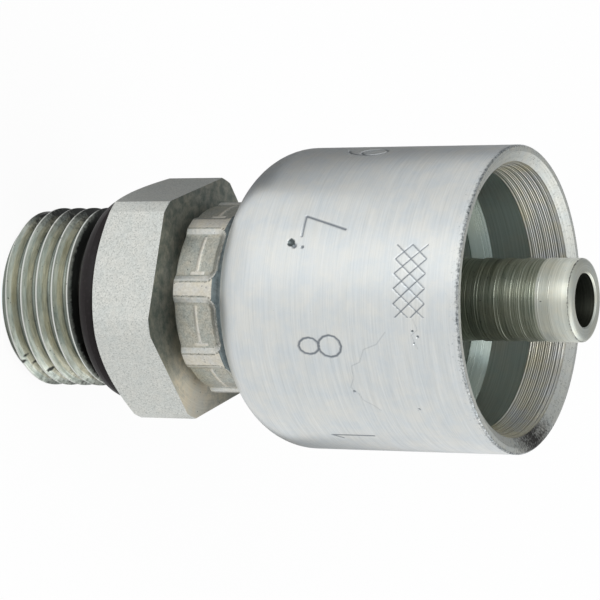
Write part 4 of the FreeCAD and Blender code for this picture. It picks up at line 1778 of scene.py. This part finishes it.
TURNED_LAND = ZincPlate("zinc_turned_land", pale="#EEEEE8", deep="#9DA09B", warm="#DACDA4",
                        cool="#BFC3CC", roughness=0.36, anisotropy=0.4, mark_mm=0.13, mark_length_mm=14.0,
                        mark_depth_um=4.0, contrast=1.0, cloud_mm=3.0, cloud_share=0.5, speck_level=0.85)
TURNED_FLANK = ZincPlate("zinc_turned_flank", pale="#B9C4BF", deep="#8E9A96", warm="#ABB0A2",
                         cool="#8A9E9E", roughness=0.3, anisotropy=0.0, mark_mm=0.15, speck_level=0.85)
TURNED_SOCKET = ZincPlate("zinc_turned_socket", pale="#EEF1ED", deep="#B8BFBA", warm="#D6CCBB",
                          cool="#ADC3C4", roughness=0.36, anisotropy=0.5, mark_mm=0.13, contrast=0.9,
                          speck_level=0.85)
DRAWN_FLAT = ZincPlate("zinc_drawn_hexagon", pale="#E4E6E2", deep="#B6B9B5", warm="#D6D4CC",
                       cool="#C3C8C5", roughness=0.46, anisotropy=0.0, grain=Grain.EVEN, mark_mm=0.14,
                       mark_depth_um=9.0, contrast=1.0, cloud_mm=1.2, speck_mm=0.12, speck_level=0.59,
                       speck="#B4B7B3", dirt_share=0.0)
PRESSED_PAD = ZincPlate("zinc_pressed_pad", pale="#D2D2C7", deep="#7C7F78", warm="#B9B1A0",
                        cool="#949D9B", roughness=0.42, anisotropy=0.0, grain=Grain.EVEN, mark_mm=0.15,
                        mark_depth_um=7.0, contrast=1.1, cloud_mm=0.9, cloud_share=0.45,
                        dirt="#3A3F3F", dirt_mm=0.3, dirt_softness=0.3)
# A darker, bluer copy of the plate for the band between the pads and the dome: painted shade.
PRESSED_BAND = ZincPlate("zinc_pressed_band", pale="#939FA1", deep="#5C686B", warm="#858884",
                         cool="#66767A", roughness=0.4, anisotropy=0.2, mark_mm=0.14, cloud_mm=1.2,
                         dirt="#42494A", dirt_mm=0.4, dirt_softness=0.3)
# A lighter copy of the plate for the pads' walls and the collar's edge: painted highlight.
BURNISHED_WALL = ZincPlate("zinc_burnished_wall", pale="#E4E4DF", deep="#B4B7B3", warm="#D0CABB",
                           cool="#BCC2C2", roughness=0.42, anisotropy=0.0, grain=Grain.EVEN, mark_mm=0.2,
                           contrast=1.0, cloud_mm=0.7, cloud_share=0.45, dirt="#55504A", dirt_mm=0.2)
PRESSED_RIDGE = ZincPlate("zinc_pressed_ridge", pale="#E2E0D8", deep="#B9B5AA", warm="#D3CCB6",
                          cool="#C5C6C3", roughness=0.42, anisotropy=0.0, grain=Grain.EVEN, mark_mm=0.18,
                          mark_depth_um=8.0, contrast=1.0, cloud_mm=0.8, cloud_share=0.45,
                          dirt="#55504A", dirt_mm=0.2)


def main() -> None:
    """Builds the camera and light first, then each piece, which hides the imported part that it replaces.
    """
    logging.basicConfig(level=logging.INFO, format="%(name)s: %(message)s")
    Studio().build()
    for maker in (FittingBody, CrimpShell, ORing):
        maker.from_frame().build()


if __name__ == "__main__":
    main()
